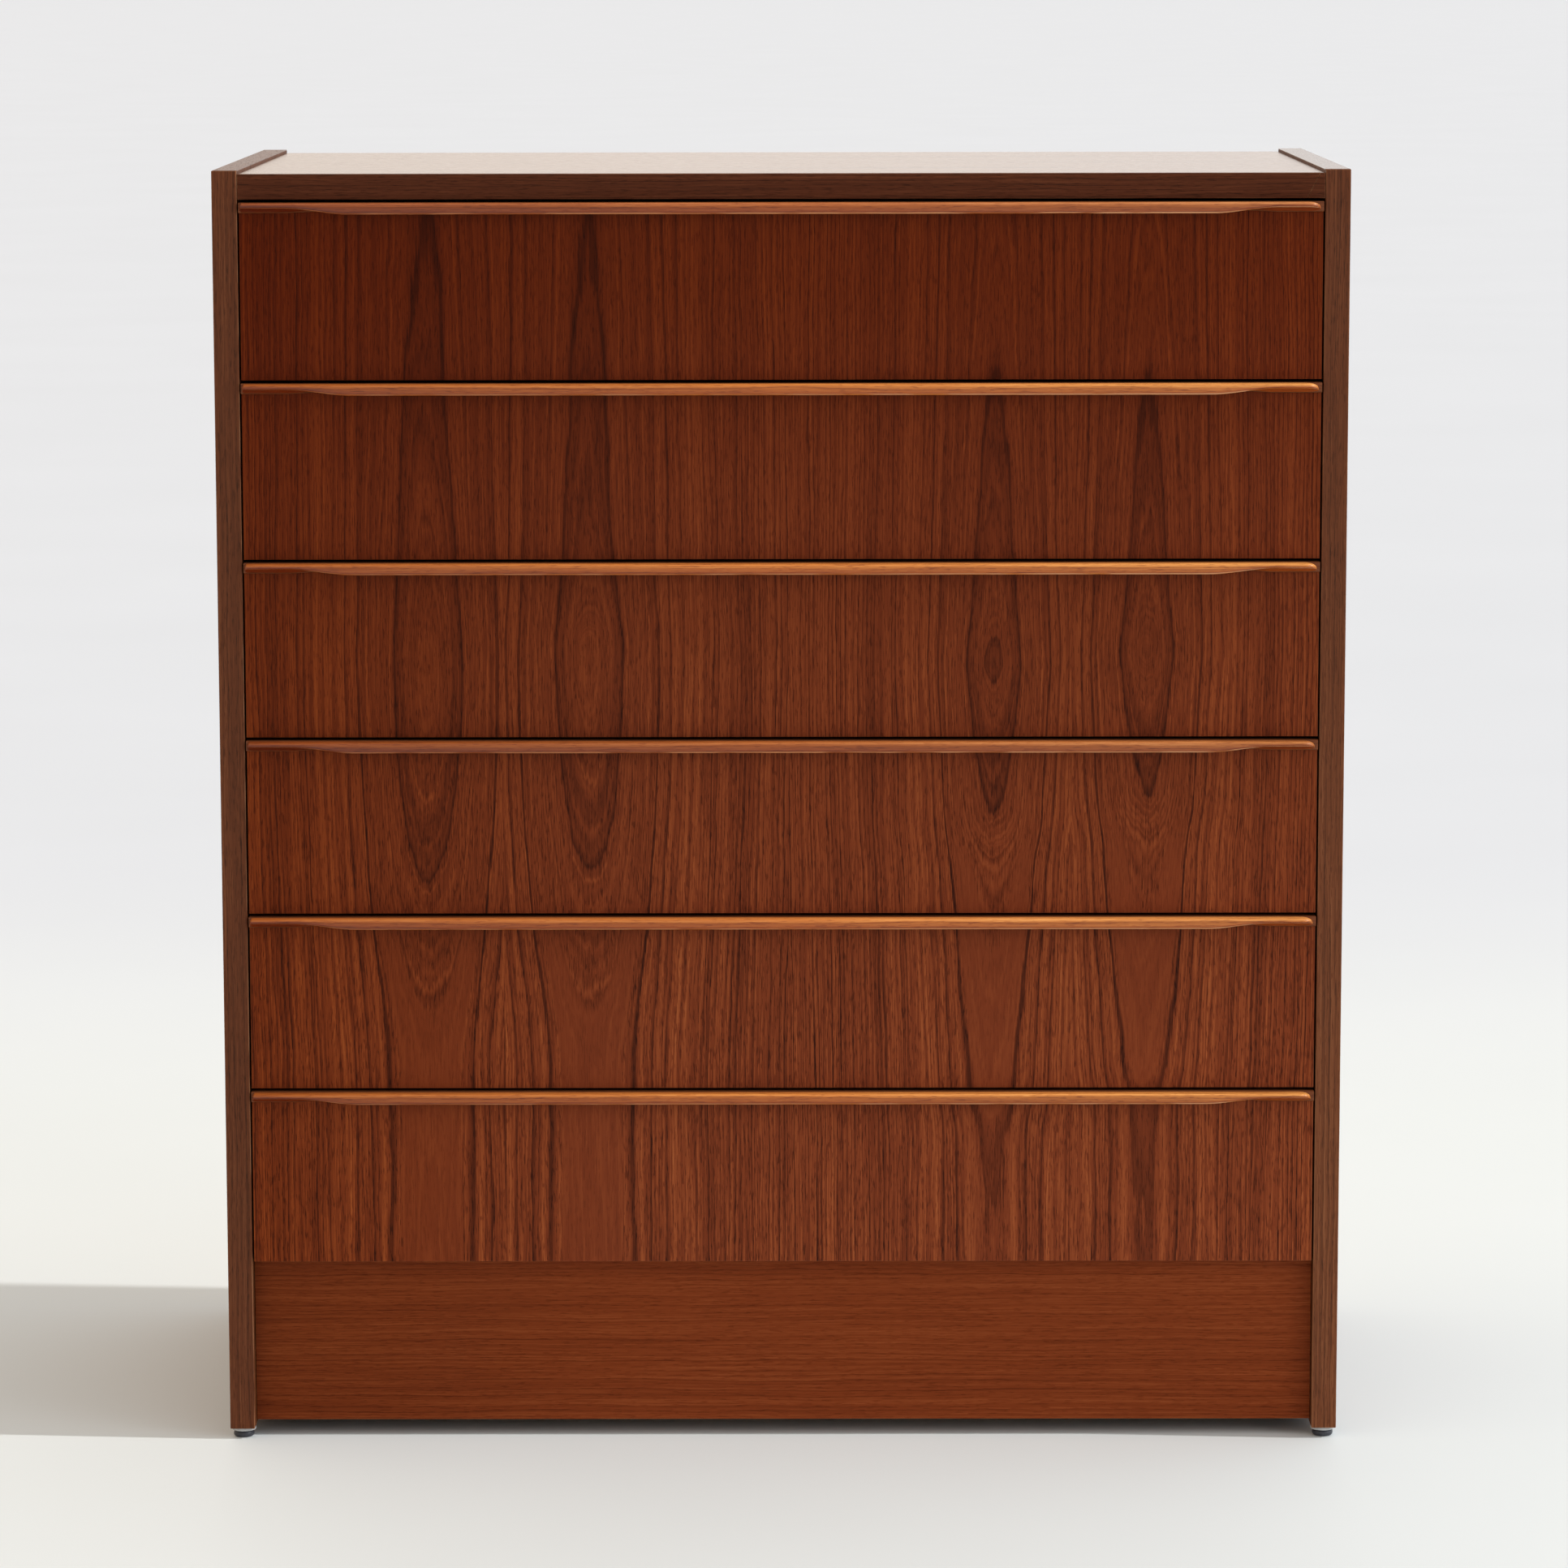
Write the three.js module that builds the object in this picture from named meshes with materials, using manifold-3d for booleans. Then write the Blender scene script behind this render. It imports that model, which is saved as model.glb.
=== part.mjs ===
// Tall chest of six drawers in teak, as it comes apart on a bench.
//
// Frame: millimetres, +Z up, the origin on the floor under the middle of the chest.
// The drawers face -Y and slide out along -Y. X runs across the chest, +X to the right
// of a person who stands in front of it.
//
// The carcase is two side panels on nail-on glides, with the top, the bottom and a plinth
// board set between them and a plywood back in a rebate. Each drawer hangs on two wooden
// runners, which are screwed to the side panels and run in stopped grooves. A drawer is a
// veneered front with a sculpted solid pull glued along its top edge, two sides dovetailed
// into the front, a back housed in the sides, and a plywood bottom slid into grooves.

import * as THREE from "three";
import { mergeVertices } from "three/addons/utils/BufferGeometryUtils.js";
import Module from "manifold-3d";

// ---------------------------------------------------------------- driving dimensions

const WIDTH = 800; // over the side panels
const DEPTH = 424; // noses of the pulls to the back edge of the sides
const HEIGHT = 914; // floor to the top of the sides
const BOARD = 17.75; // veneered board: sides, top, bottom, plinth and drawer fronts
const GLUE = 0.25; // gap left at each glued or housed joint

const GLIDE_HEIGHT = 7.5;
const GLIDE_RADIUS = 8.75;
const GLIDE_INSET = 11; // from a side's front or back edge to the glide's centre

const TOP_DROP = 2.5; // the top's surface below the top of the sides
const TOP_EDGING = 6; // depth of the solid strip along the top's front edge
const TOP_EDGING_SETBACK = 0.25; // behind the front edges of the sides
const BACK_PLY = 5;
const BACK_REBATE_DEPTH = 6; // rebate for the back, measured from the rear edges
const BACK_REBATE_WIDTH = 8; // and measured into the thickness of sides and top
const BACK_BOTTOM = 20; // lower edge of the back panel above the floor
const PLINTH_SETBACK = 12;
const PLINTH_CLEARANCE = 4; // lower edge of the plinth above the bottom of the sides
const REAR_RAIL_HEIGHT = 70;

const DRAWERS = 6;
const FRONT_HEIGHT = 125; // a drawer front with its pull
const DRAWER_GAP = 2.1; // between one front and the next
const FACE_SETBACK = 1; // drawer faces behind the front edges of the sides
const SIDE_CLEARANCE = 1.25; // each side of a drawer

const PULL_PROUD = 13; // the nose of the pull in front of the drawer's face
const PULL_STRIP = 5.25; // thickness of the pull's strip
const PULL_STRIP_PROUD = 5;
const PULL_NOSE_DROP = 7; // height of the nose in the middle of the drawer
const PULL_END_DROP = 3.4; // and near its ends
const PULL_NOSE_ROUND = 3; // how far back the round of the nose reaches
const PULL_NOSE_END = 3.75; // the nose stops this far short of the strip's end
const PULL_END_RADIUS = 7; // of the nose's rounded end, seen from above
const PULL_CORNER_DROP = 3; // how far the top corner of the nose is rounded down
const PULL_TAPER_START = 35; // from the drawer's end, where the nose starts to deepen
const PULL_TAPER_END = 90; // and where it is at its full depth
const PULL_HOLLOW = 3; // height of the finger cove in the pull's underside
const PULL_TOP_ARRIS = 0.5; // the flat top ends this far behind the strip's front

const DRAWER_SIDE = 12; // thickness
const DRAWER_SIDE_HEIGHT = 100;
const DRAWER_SIDE_RISE = 6; // a drawer side's lower edge above the front's lower edge
const DRAWER_BACK = 10; // thickness
const DRAWER_BACK_INSET = 8; // back panel in from the rear ends of the sides
const DRAWER_BACK_HOUSING = 4;
const DRAWER_BACK_BELOW = 6; // its upper edge below the drawer sides'
const DRAWER_REAR_ROOM = 16; // between the drawer and the carcase back
const DRAWER_PLY = 4; // drawer bottom
const DRAWER_PLY_RISE = 8; // its underside above the lower edge of the drawer side
const DRAWER_PLY_GROOVE = 5;
const DRAWER_PLY_INSET = 2; // its rear edge in front of the rear ends of the sides

const TAILS = 3; // dovetails at each front corner
const TAIL_LENGTH = 10;
const TAIL_WIDE = 24;
const TAIL_NARROW = 20;

const RUNNER_HEIGHT = 12;
const RUNNER_PROUD = 7.25; // from the side panel into the drawer's groove
const RUNNER_TOP_PLAY = 0.25;
const RUNNER_BOTTOM_PLAY = 0.75;
const RUNNER_REACH = 6; // the runner's rear end behind the drawer's
const GROOVE_DEPTH = 6.5;
const GROOVE_RISE = 44; // of the groove above the lower edge of the drawer side
const GROOVE_STOP = 20; // the groove stops this far behind the front
const GROOVE_STOP_PLAY = 0.75;

// Finishes
const TEAK_VENEER = { color: 0x7a3e22, roughness: 0.5, metalness: 0 };
const TEAK_SOLID = { color: 0xa9622f, roughness: 0.48, metalness: 0 };
const TEAK_EDGING = { color: 0x5c4031, roughness: 0.55, metalness: 0 };
const PALE_WOOD = { color: 0xc9a777, roughness: 0.6, metalness: 0 };
const PLYWOOD = { color: 0xc19a68, roughness: 0.65, metalness: 0 };
const GLIDE_PLASTIC = { color: 0x3a3735, roughness: 0.5, metalness: 0 };

// ---------------------------------------------------------------- derived places

const HALF_OUTER = WIDTH / 2;
const HALF_INNER = HALF_OUTER - BOARD;
const HALF_DRAWER = HALF_INNER - SIDE_CLEARANCE;
const NOSE_Y = -DEPTH / 2;
const FACE_Y = NOSE_Y + PULL_PROUD;
const CASE_FRONT_Y = FACE_Y - FACE_SETBACK;
const CASE_BACK_Y = DEPTH / 2;
const BACK_PANEL_Y = CASE_BACK_Y - BACK_REBATE_DEPTH;
const CASE_BOTTOM_Z = GLIDE_HEIGHT;
const TOP_SURFACE_Z = HEIGHT - TOP_DROP;
const TOP_UNDERSIDE_Z = TOP_SURFACE_Z - BOARD;
const DRAWER_PITCH = FRONT_HEIGHT + DRAWER_GAP;
const FIRST_DRAWER_TOP_Z = TOP_UNDERSIDE_Z - DRAWER_GAP;
const BOTTOM_SURFACE_Z = FIRST_DRAWER_TOP_Z - DRAWERS * DRAWER_PITCH;

// Within a drawer, z is measured down from the top of its pull.
const FRONT_BACK_Y = FACE_Y + BOARD;
const FRONT_TOP = -PULL_STRIP - GLUE;
const SIDE_BOTTOM = -FRONT_HEIGHT + DRAWER_SIDE_RISE;
const SIDE_TOP = SIDE_BOTTOM + DRAWER_SIDE_HEIGHT;
const DRAWER_REAR_Y = BACK_PANEL_Y - DRAWER_REAR_ROOM;
const PLY_BOTTOM = SIDE_BOTTOM + DRAWER_PLY_RISE;
const GROOVE_BOTTOM = SIDE_BOTTOM + GROOVE_RISE;
const GROOVE_HEIGHT = RUNNER_HEIGHT + RUNNER_TOP_PLAY + RUNNER_BOTTOM_PLAY;
const GROOVE_FRONT_Y = FRONT_BACK_Y + GROOVE_STOP;
const HALF_DRAWER_INSIDE = HALF_DRAWER - DRAWER_SIDE;

// ---------------------------------------------------------------- geometry helpers

const wasm = await Module();
wasm.setup();

const chest = new THREE.Group();
chest.name = "tall_chest_of_drawers";

// Adds one named piece to a group, with a material of its own.
function place(parent, name, geometry, look) {
  const mesh = new THREE.Mesh(geometry, new THREE.MeshStandardMaterial(look));
  mesh.name = name;
  parent.add(mesh);
}

// A rectangular block between two corners.
function block([x0, x1], [y0, y1], [z0, z1]) {
  const geometry = new THREE.BoxGeometry(x1 - x0, y1 - y0, z1 - z0);
  return geometry.translate((x0 + x1) / 2, (y0 + y1) / 2, (z0 + z1) / 2);
}

// A block on one side of the chest: near and far are distances from the middle.
function sideBlock(side, near, far, ySpan, zSpan) {
  return block([Math.min(side * near, side * far), Math.max(side * near, side * far)], ySpan, zSpan);
}

// An outline of [y, z] points, extruded across a range of x.
function prismAlongX(outline, x0, x1) {
  const shape = new THREE.Shape(outline.map(([y, z]) => new THREE.Vector2(y, z)));
  const geometry = new THREE.ExtrudeGeometry(shape, { depth: x1 - x0, bevelEnabled: false });
  const turn = new THREE.Matrix4().makeBasis(
    new THREE.Vector3(0, 1, 0),
    new THREE.Vector3(0, 0, 1),
    new THREE.Vector3(1, 0, 0),
  );
  return geometry.applyMatrix4(turn).translate(x0, 0, 0);
}

function toSolid(geometry) {
  const bare = geometry.clone();
  bare.deleteAttribute("normal");
  bare.deleteAttribute("uv");
  const merged = mergeVertices(bare);
  const vertProperties = new Float32Array(merged.attributes.position.array);
  const triVerts = new Uint32Array(merged.index.array);
  return new wasm.Manifold(new wasm.Mesh({ numProp: 3, vertProperties, triVerts }));
}

// A blank with other shapes cut away from it.
function cut(blank, tools) {
  let solid = toSolid(blank);
  for (const tool of tools) {
    solid = solid.subtract(toSolid(tool));
  }
  const { vertProperties, triVerts } = solid.getMesh();
  const geometry = new THREE.BufferGeometry();
  geometry.setAttribute("position", new THREE.BufferAttribute(vertProperties, 3));
  geometry.setIndex(new THREE.BufferAttribute(triVerts, 1));
  return geometry;
}

// A skin through outlines of [y, z] points, one at each x, closed at both ends.
function loft(stations) {
  const count = stations[0].outline.length;
  const positions = stations.flatMap(({ x, outline }) => outline.flatMap(([y, z]) => [x, y, z]));
  const faces = [];
  for (let i = 0; i + 1 < stations.length; i += 1) {
    for (let k = 0; k < count; k += 1) {
      const a = i * count + k;
      const b = i * count + ((k + 1) % count);
      faces.push(a, b, a + count, b, b + count, a + count);
    }
  }
  const last = (stations.length - 1) * count;
  for (const [offset, end] of [[0, stations[0]], [last, stations.at(-1)]]) {
    const points = end.outline.map(([y, z]) => new THREE.Vector2(y, z));
    for (const [a, b, c] of THREE.ShapeUtils.triangulateShape(points, [])) {
      faces.push(...(offset ? [a + offset, b + offset, c + offset] : [a, c, b]));
    }
  }
  const geometry = new THREE.BufferGeometry();
  geometry.setAttribute("position", new THREE.Float32BufferAttribute(positions, 3));
  geometry.setIndex(faces);
  return geometry;
}

const { lerp, smoothstep } = THREE.MathUtils;

// ---------------------------------------------------------------- carcase

// A side panel, rebated along its inner rear edge for the back.
function sidePanel(side) {
  const blank = sideBlock(side, HALF_INNER, HALF_OUTER, [CASE_FRONT_Y, CASE_BACK_Y], [CASE_BOTTOM_Z, HEIGHT]);
  const rebate = sideBlock(
    side,
    HALF_INNER - 1,
    HALF_INNER + BACK_REBATE_WIDTH,
    [BACK_PANEL_Y, CASE_BACK_Y + 1],
    [BACK_BOTTOM - 1, TOP_UNDERSIDE_Z + BACK_REBATE_WIDTH],
  );
  return cut(blank, [rebate]);
}

// The top, rebated under its rear edge. Its front edge is the separate solid strip.
function topPanel() {
  const half = HALF_INNER - GLUE;
  const frontY = CASE_FRONT_Y + TOP_EDGING_SETBACK + TOP_EDGING + GLUE;
  const blank = block([-half, half], [frontY, CASE_BACK_Y], [TOP_UNDERSIDE_Z, TOP_SURFACE_Z]);
  const rebate = block(
    [-half - 1, half + 1],
    [BACK_PANEL_Y, CASE_BACK_Y + 1],
    [TOP_UNDERSIDE_Z - 1, TOP_UNDERSIDE_Z + BACK_REBATE_WIDTH],
  );
  return cut(blank, [rebate]);
}

function topEdgeStrip() {
  const half = HALF_INNER - GLUE;
  const frontY = CASE_FRONT_Y + TOP_EDGING_SETBACK;
  return block([-half, half], [frontY, frontY + TOP_EDGING], [TOP_UNDERSIDE_Z, TOP_SURFACE_Z]);
}

// The bottom lies behind the plinth board, level with its upper edge.
function bottomPanel() {
  const half = HALF_INNER - GLUE;
  const frontY = CASE_FRONT_Y + PLINTH_SETBACK + BOARD + GLUE;
  return block([-half, half], [frontY, BACK_PANEL_Y - GLUE], [BOTTOM_SURFACE_Z - BOARD, BOTTOM_SURFACE_Z]);
}

function plinthBoard() {
  const half = HALF_INNER - GLUE;
  const frontY = CASE_FRONT_Y + PLINTH_SETBACK;
  return block([-half, half], [frontY, frontY + BOARD], [CASE_BOTTOM_Z + PLINTH_CLEARANCE, BOTTOM_SURFACE_Z]);
}

function rearRail() {
  const half = HALF_INNER - GLUE;
  const topZ = BOTTOM_SURFACE_Z - BOARD - GLUE;
  const rearY = BACK_PANEL_Y - GLUE;
  return block([-half, half], [rearY - BOARD, rearY], [topZ - REAR_RAIL_HEIGHT, topZ]);
}

function backPanel() {
  const half = HALF_INNER + BACK_REBATE_WIDTH - GLUE;
  const frontY = BACK_PANEL_Y + GLUE;
  const topZ = TOP_UNDERSIDE_Z + BACK_REBATE_WIDTH - GLUE;
  return block([-half, half], [frontY, frontY + BACK_PLY], [BACK_BOTTOM, topZ]);
}

// A nail-on glide: a base disc against the panel, and a rounded foot below it.
function glide() {
  const footRadius = 7.5;
  const footHeight = 4.5;
  const round = 2.5;
  const arris = 0.4;
  const profile = [new THREE.Vector2(0, 0)];
  for (let degrees = 0; degrees <= 90; degrees += 30) {
    const angle = THREE.MathUtils.degToRad(degrees);
    const radius = footRadius - round + round * Math.sin(angle);
    profile.push(new THREE.Vector2(radius, round - round * Math.cos(angle)));
  }
  profile.push(new THREE.Vector2(footRadius, footHeight));
  profile.push(new THREE.Vector2(GLIDE_RADIUS - arris, footHeight));
  profile.push(new THREE.Vector2(GLIDE_RADIUS, footHeight + arris));
  profile.push(new THREE.Vector2(GLIDE_RADIUS, GLIDE_HEIGHT));
  profile.push(new THREE.Vector2(0, GLIDE_HEIGHT));
  return new THREE.LatheGeometry(profile, 32).rotateX(Math.PI / 2);
}

// A runner for the drawer whose pull has its top at topZ. Its front end is the drawer's stop.
function runner(side, topZ) {
  const bottomZ = topZ + GROOVE_BOTTOM + RUNNER_BOTTOM_PLAY;
  return sideBlock(
    side,
    HALF_INNER - RUNNER_PROUD,
    HALF_INNER - GLUE,
    [GROOVE_FRONT_Y + GROOVE_STOP_PLAY, DRAWER_REAR_Y + RUNNER_REACH],
    [bottomZ, bottomZ + RUNNER_HEIGHT],
  );
}

place(chest, "side_panel_left", sidePanel(-1), TEAK_VENEER);
place(chest, "side_panel_right", sidePanel(1), TEAK_VENEER);
place(chest, "top_panel", topPanel(), TEAK_VENEER);
place(chest, "top_edge_strip", topEdgeStrip(), TEAK_EDGING);
place(chest, "bottom_panel", bottomPanel(), PALE_WOOD);
place(chest, "plinth_board", plinthBoard(), TEAK_SOLID);
place(chest, "rear_rail", rearRail(), PALE_WOOD);
place(chest, "back_panel", backPanel(), PLYWOOD);

for (const [end, y] of [["front", CASE_FRONT_Y + GLIDE_INSET], ["rear", CASE_BACK_Y - GLIDE_INSET]]) {
  for (const [hand, side] of [["left", -1], ["right", 1]]) {
    const foot = new THREE.Group();
    foot.position.set(side * (HALF_OUTER - BOARD / 2), y, 0);
    place(foot, `glide_${end}_${hand}`, glide(), GLIDE_PLASTIC);
    chest.add(foot);
  }
}

// ---------------------------------------------------------------- drawer pull

// The pull's section at a distance from the end of the drawer, as [y, z] points with z = 0
// at the top. It is a strip as deep as the front is thick, a strip's width proud of the
// face, with a rounded nose. Away from the ends the nose deepens and a finger cove is
// hollowed out behind it.
function pullOutline(fromEnd) {
  const noseStart = fromEnd - PULL_NOSE_END;
  const leastTurn = 0.0004; // keeps the nose a sliver proud of the strip beyond its end
  const turned = THREE.MathUtils.clamp(noseStart / PULL_END_RADIUS, leastTurn, 1);
  const grown = Math.sqrt(1 - (1 - turned) ** 2);
  const deep = smoothstep(fromEnd, PULL_TAPER_START, PULL_TAPER_END);
  const stripY = FACE_Y - PULL_STRIP_PROUD;
  const noseY = lerp(stripY, NOSE_Y, grown);
  const reach = PULL_NOSE_ROUND * grown;
  const topDrop = PULL_CORNER_DROP * (1 - grown);
  const drop = lerp(PULL_END_DROP, PULL_NOSE_DROP, deep);

  const outline = [
    [FRONT_BACK_Y, -PULL_STRIP],
    [FRONT_BACK_Y, 0],
    [stripY + PULL_TOP_ARRIS, 0],
  ];
  const arcSteps = 6;
  for (let i = 0; i <= arcSteps; i += 1) {
    const angle = (Math.PI * i) / arcSteps;
    const y = noseY + reach * (1 - Math.sin(angle));
    outline.push([y, -(drop + topDrop) / 2 + ((drop - topDrop) / 2) * Math.cos(angle)]);
  }
  const underSteps = 8;
  const stepAt = 0.5; // where the underside meets the strip near the ends
  const innerY = noseY + reach;
  for (let i = 1; i <= underSteps; i += 1) {
    const t = i / underSteps;
    const endY = t < stepAt ? lerp(innerY, stripY, t / stepAt) : lerp(stripY, FACE_Y, (t - stepAt) / stepAt);
    const endZ = t < stepAt ? -drop : -PULL_STRIP;
    const coveY = lerp(innerY, FACE_Y, t);
    const coveZ = lerp(-drop, -PULL_STRIP, t) + PULL_HOLLOW * Math.sin(Math.PI * t);
    outline.push([lerp(endY, coveY, deep), lerp(endZ, coveZ, deep)]);
  }
  return outline;
}

function pull() {
  const fromEnd = [0, PULL_NOSE_END];
  for (const share of [0.06, 0.25, 0.55, 1]) {
    fromEnd.push(PULL_NOSE_END + share * PULL_END_RADIUS);
  }
  const taperSteps = 5;
  for (let i = 0; i <= taperSteps; i += 1) {
    fromEnd.push(lerp(PULL_TAPER_START, PULL_TAPER_END, i / taperSteps));
  }
  const left = fromEnd.map((d) => ({ x: d - HALF_DRAWER, outline: pullOutline(d) }));
  const right = fromEnd.map((d) => ({ x: HALF_DRAWER - d, outline: pullOutline(d) }));
  return loft([...left, ...right.reverse()]);
}

// ---------------------------------------------------------------- drawer box

// The middle heights of the dovetails at a front corner.
const tailMiddles = Array.from(
  { length: TAILS },
  (_, i) => SIDE_BOTTOM + (DRAWER_SIDE_HEIGHT * (i + 0.5)) / TAILS,
);

// One dovetail as [y, z] points, grown all round for its socket.
function tailOutline(middle, grow) {
  const tipY = FRONT_BACK_Y - TAIL_LENGTH - grow;
  const wide = TAIL_WIDE / 2 + grow;
  const narrow = TAIL_NARROW / 2 + grow;
  return [
    [FRONT_BACK_Y + grow, middle + narrow],
    [tipY, middle + wide],
    [tipY, middle - wide],
    [FRONT_BACK_Y + grow, middle - narrow],
  ];
}

// The veneered front, with sockets for the dovetails and a groove for the bottom.
function drawerFront() {
  const blank = block([-HALF_DRAWER, HALF_DRAWER], [FACE_Y, FRONT_BACK_Y], [-FRONT_HEIGHT, FRONT_TOP]);
  const tools = [
    block(
      [-HALF_DRAWER_INSIDE - DRAWER_PLY_GROOVE, HALF_DRAWER_INSIDE + DRAWER_PLY_GROOVE],
      [FRONT_BACK_Y - DRAWER_PLY_GROOVE - GLUE, FRONT_BACK_Y + 1],
      [PLY_BOTTOM - GLUE, PLY_BOTTOM + DRAWER_PLY + GLUE],
    ),
  ];
  for (const middle of tailMiddles) {
    const socket = tailOutline(middle, GLUE);
    tools.push(prismAlongX(socket, -HALF_DRAWER - 1, -HALF_DRAWER_INSIDE + GLUE));
    tools.push(prismAlongX(socket, HALF_DRAWER_INSIDE - GLUE, HALF_DRAWER + 1));
  }
  return cut(blank, tools);
}

// A drawer side: tails at the front, a stopped groove for the runner outside, and inside
// it a groove for the bottom and a housing for the back.
function drawerSide(side) {
  const frontY = FRONT_BACK_Y + GLUE;
  const outline = [
    [frontY, SIDE_BOTTOM],
    [DRAWER_REAR_Y, SIDE_BOTTOM],
    [DRAWER_REAR_Y, SIDE_TOP],
    [frontY, SIDE_TOP],
  ];
  for (const middle of [...tailMiddles].reverse()) {
    const [rootTop, tipTop, tipBottom, rootBottom] = tailOutline(middle, 0);
    outline.push([frontY, rootTop[1]], tipTop, tipBottom, [frontY, rootBottom[1]]);
  }
  const x = [side * HALF_DRAWER_INSIDE, side * HALF_DRAWER].sort((a, b) => a - b);
  const runnerGroove = sideBlock(
    side,
    HALF_DRAWER - GROOVE_DEPTH,
    HALF_DRAWER + 1,
    [GROOVE_FRONT_Y, DRAWER_REAR_Y + 1],
    [GROOVE_BOTTOM, GROOVE_BOTTOM + GROOVE_HEIGHT],
  );
  const plyGroove = sideBlock(
    side,
    HALF_DRAWER_INSIDE - 1,
    HALF_DRAWER_INSIDE + DRAWER_PLY_GROOVE,
    [FRONT_BACK_Y - TAIL_LENGTH - 1, DRAWER_REAR_Y + 1],
    [PLY_BOTTOM - GLUE, PLY_BOTTOM + DRAWER_PLY + GLUE],
  );
  const housingY = DRAWER_REAR_Y - DRAWER_BACK_INSET - DRAWER_BACK;
  const backHousing = sideBlock(
    side,
    HALF_DRAWER_INSIDE - 1,
    HALF_DRAWER_INSIDE + DRAWER_BACK_HOUSING,
    [housingY - GLUE, housingY + DRAWER_BACK + GLUE],
    [PLY_BOTTOM + DRAWER_PLY, SIDE_TOP + 1],
  );
  return cut(prismAlongX(outline, x[0], x[1]), [runnerGroove, plyGroove, backHousing]);
}

function drawerBack() {
  const half = HALF_DRAWER_INSIDE + DRAWER_BACK_HOUSING - GLUE;
  const frontY = DRAWER_REAR_Y - DRAWER_BACK_INSET - DRAWER_BACK;
  return block(
    [-half, half],
    [frontY, frontY + DRAWER_BACK],
    [PLY_BOTTOM + DRAWER_PLY + GLUE, SIDE_TOP - DRAWER_BACK_BELOW],
  );
}

function drawerBottom() {
  const half = HALF_DRAWER_INSIDE + DRAWER_PLY_GROOVE - GLUE;
  return block(
    [-half, half],
    [FRONT_BACK_Y - DRAWER_PLY_GROOVE, DRAWER_REAR_Y - DRAWER_PLY_INSET],
    [PLY_BOTTOM, PLY_BOTTOM + DRAWER_PLY],
  );
}

for (let n = 1; n <= DRAWERS; n += 1) {
  const topZ = FIRST_DRAWER_TOP_Z - (n - 1) * DRAWER_PITCH;
  const drawer = new THREE.Group();
  drawer.position.z = topZ;
  place(drawer, `drawer_${n}_front`, drawerFront(), TEAK_VENEER);
  place(drawer, `drawer_${n}_pull`, pull(), TEAK_SOLID);
  place(drawer, `drawer_${n}_side_left`, drawerSide(-1), PALE_WOOD);
  place(drawer, `drawer_${n}_side_right`, drawerSide(1), PALE_WOOD);
  place(drawer, `drawer_${n}_back`, drawerBack(), PALE_WOOD);
  place(drawer, `drawer_${n}_bottom`, drawerBottom(), PLYWOOD);
  chest.add(drawer);
  place(chest, `runner_${n}_left`, runner(-1, topZ), PALE_WOOD);
  place(chest, `runner_${n}_right`, runner(1, topZ), PALE_WOOD);
}

export default chest;
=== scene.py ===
"""The looks of a tall teak chest of six drawers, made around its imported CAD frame.

Everything is in metres in the frame of the CAD part: the floor is z = 0, the drawers face
-Y and X runs across the chest. The CAD says where each board is. Here every board becomes
a bench-made one with softened arrises, and the pulls, glides and fastenings get their true
shape. All teak is one recipe, a solid texture that goes by the place on the chest, so the
figure of the veneer runs on from one drawer's front to the next.
"""

import math
import random
from typing import NamedTuple

import bmesh
import bpy
from mathutils import Matrix, Vector


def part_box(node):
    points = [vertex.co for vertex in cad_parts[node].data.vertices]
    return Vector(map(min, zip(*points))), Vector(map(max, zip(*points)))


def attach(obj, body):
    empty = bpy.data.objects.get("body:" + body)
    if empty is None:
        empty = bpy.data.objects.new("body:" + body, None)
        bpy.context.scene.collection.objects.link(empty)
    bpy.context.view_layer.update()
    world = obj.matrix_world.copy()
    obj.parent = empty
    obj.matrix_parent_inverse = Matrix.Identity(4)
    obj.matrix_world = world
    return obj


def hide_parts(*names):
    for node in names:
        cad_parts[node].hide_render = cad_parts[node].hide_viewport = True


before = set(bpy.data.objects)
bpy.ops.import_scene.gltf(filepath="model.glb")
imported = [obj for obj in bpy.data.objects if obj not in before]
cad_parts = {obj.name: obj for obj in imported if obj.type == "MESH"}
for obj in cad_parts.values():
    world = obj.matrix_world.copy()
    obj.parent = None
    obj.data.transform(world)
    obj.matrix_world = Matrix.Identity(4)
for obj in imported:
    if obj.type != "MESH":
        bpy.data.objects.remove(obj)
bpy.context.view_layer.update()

random.seed(7)

# ------------------------ driving dimensions

MM = 0.001
DRAWERS = range(1, 7)
HANDS = (("left", -1), ("right", 1))

# How far the sharp edges of each kind of board are rounded.
ARRIS = 0.45 * MM
EDGE_STRIP_ARRIS = 0.6 * MM
TOP_STRIP_ARRIS = 0.4 * MM
PANEL_ARRIS = 0.3 * MM
FRONT_ARRIS = 0.25 * MM
DRAWER_SIDE_ARRIS = 0.2 * MM
DRAWER_BACK_ARRIS = 0.8 * MM
RUNNER_ARRIS = 1.0 * MM

EDGING = 6.0 * MM  # depth of the solid strips along the front edges of the sides
LIPPING = 0.6 * MM  # thickness of the strips of veneer on the top edges of the sides
JOINT = 0.05 * MM  # a glue line
SCARF_FROM_END = 7.9 * MM  # of the top strip's scarf joint
SCARF_SLANT = 9.0 * MM
DRAWER_LAYER = 1.33 * MM  # one layer of the drawer bottoms' plywood
BACK_LAYER = 1.0 * MM

GLIDE_BASE_HEIGHT = 2.6 * MM
GLIDE_BASE_CORNER = 0.7 * MM
GLIDE_FOOT_RADIUS = 7.5 * MM
GLIDE_FOOT_CORNER = 2.0 * MM

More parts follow.
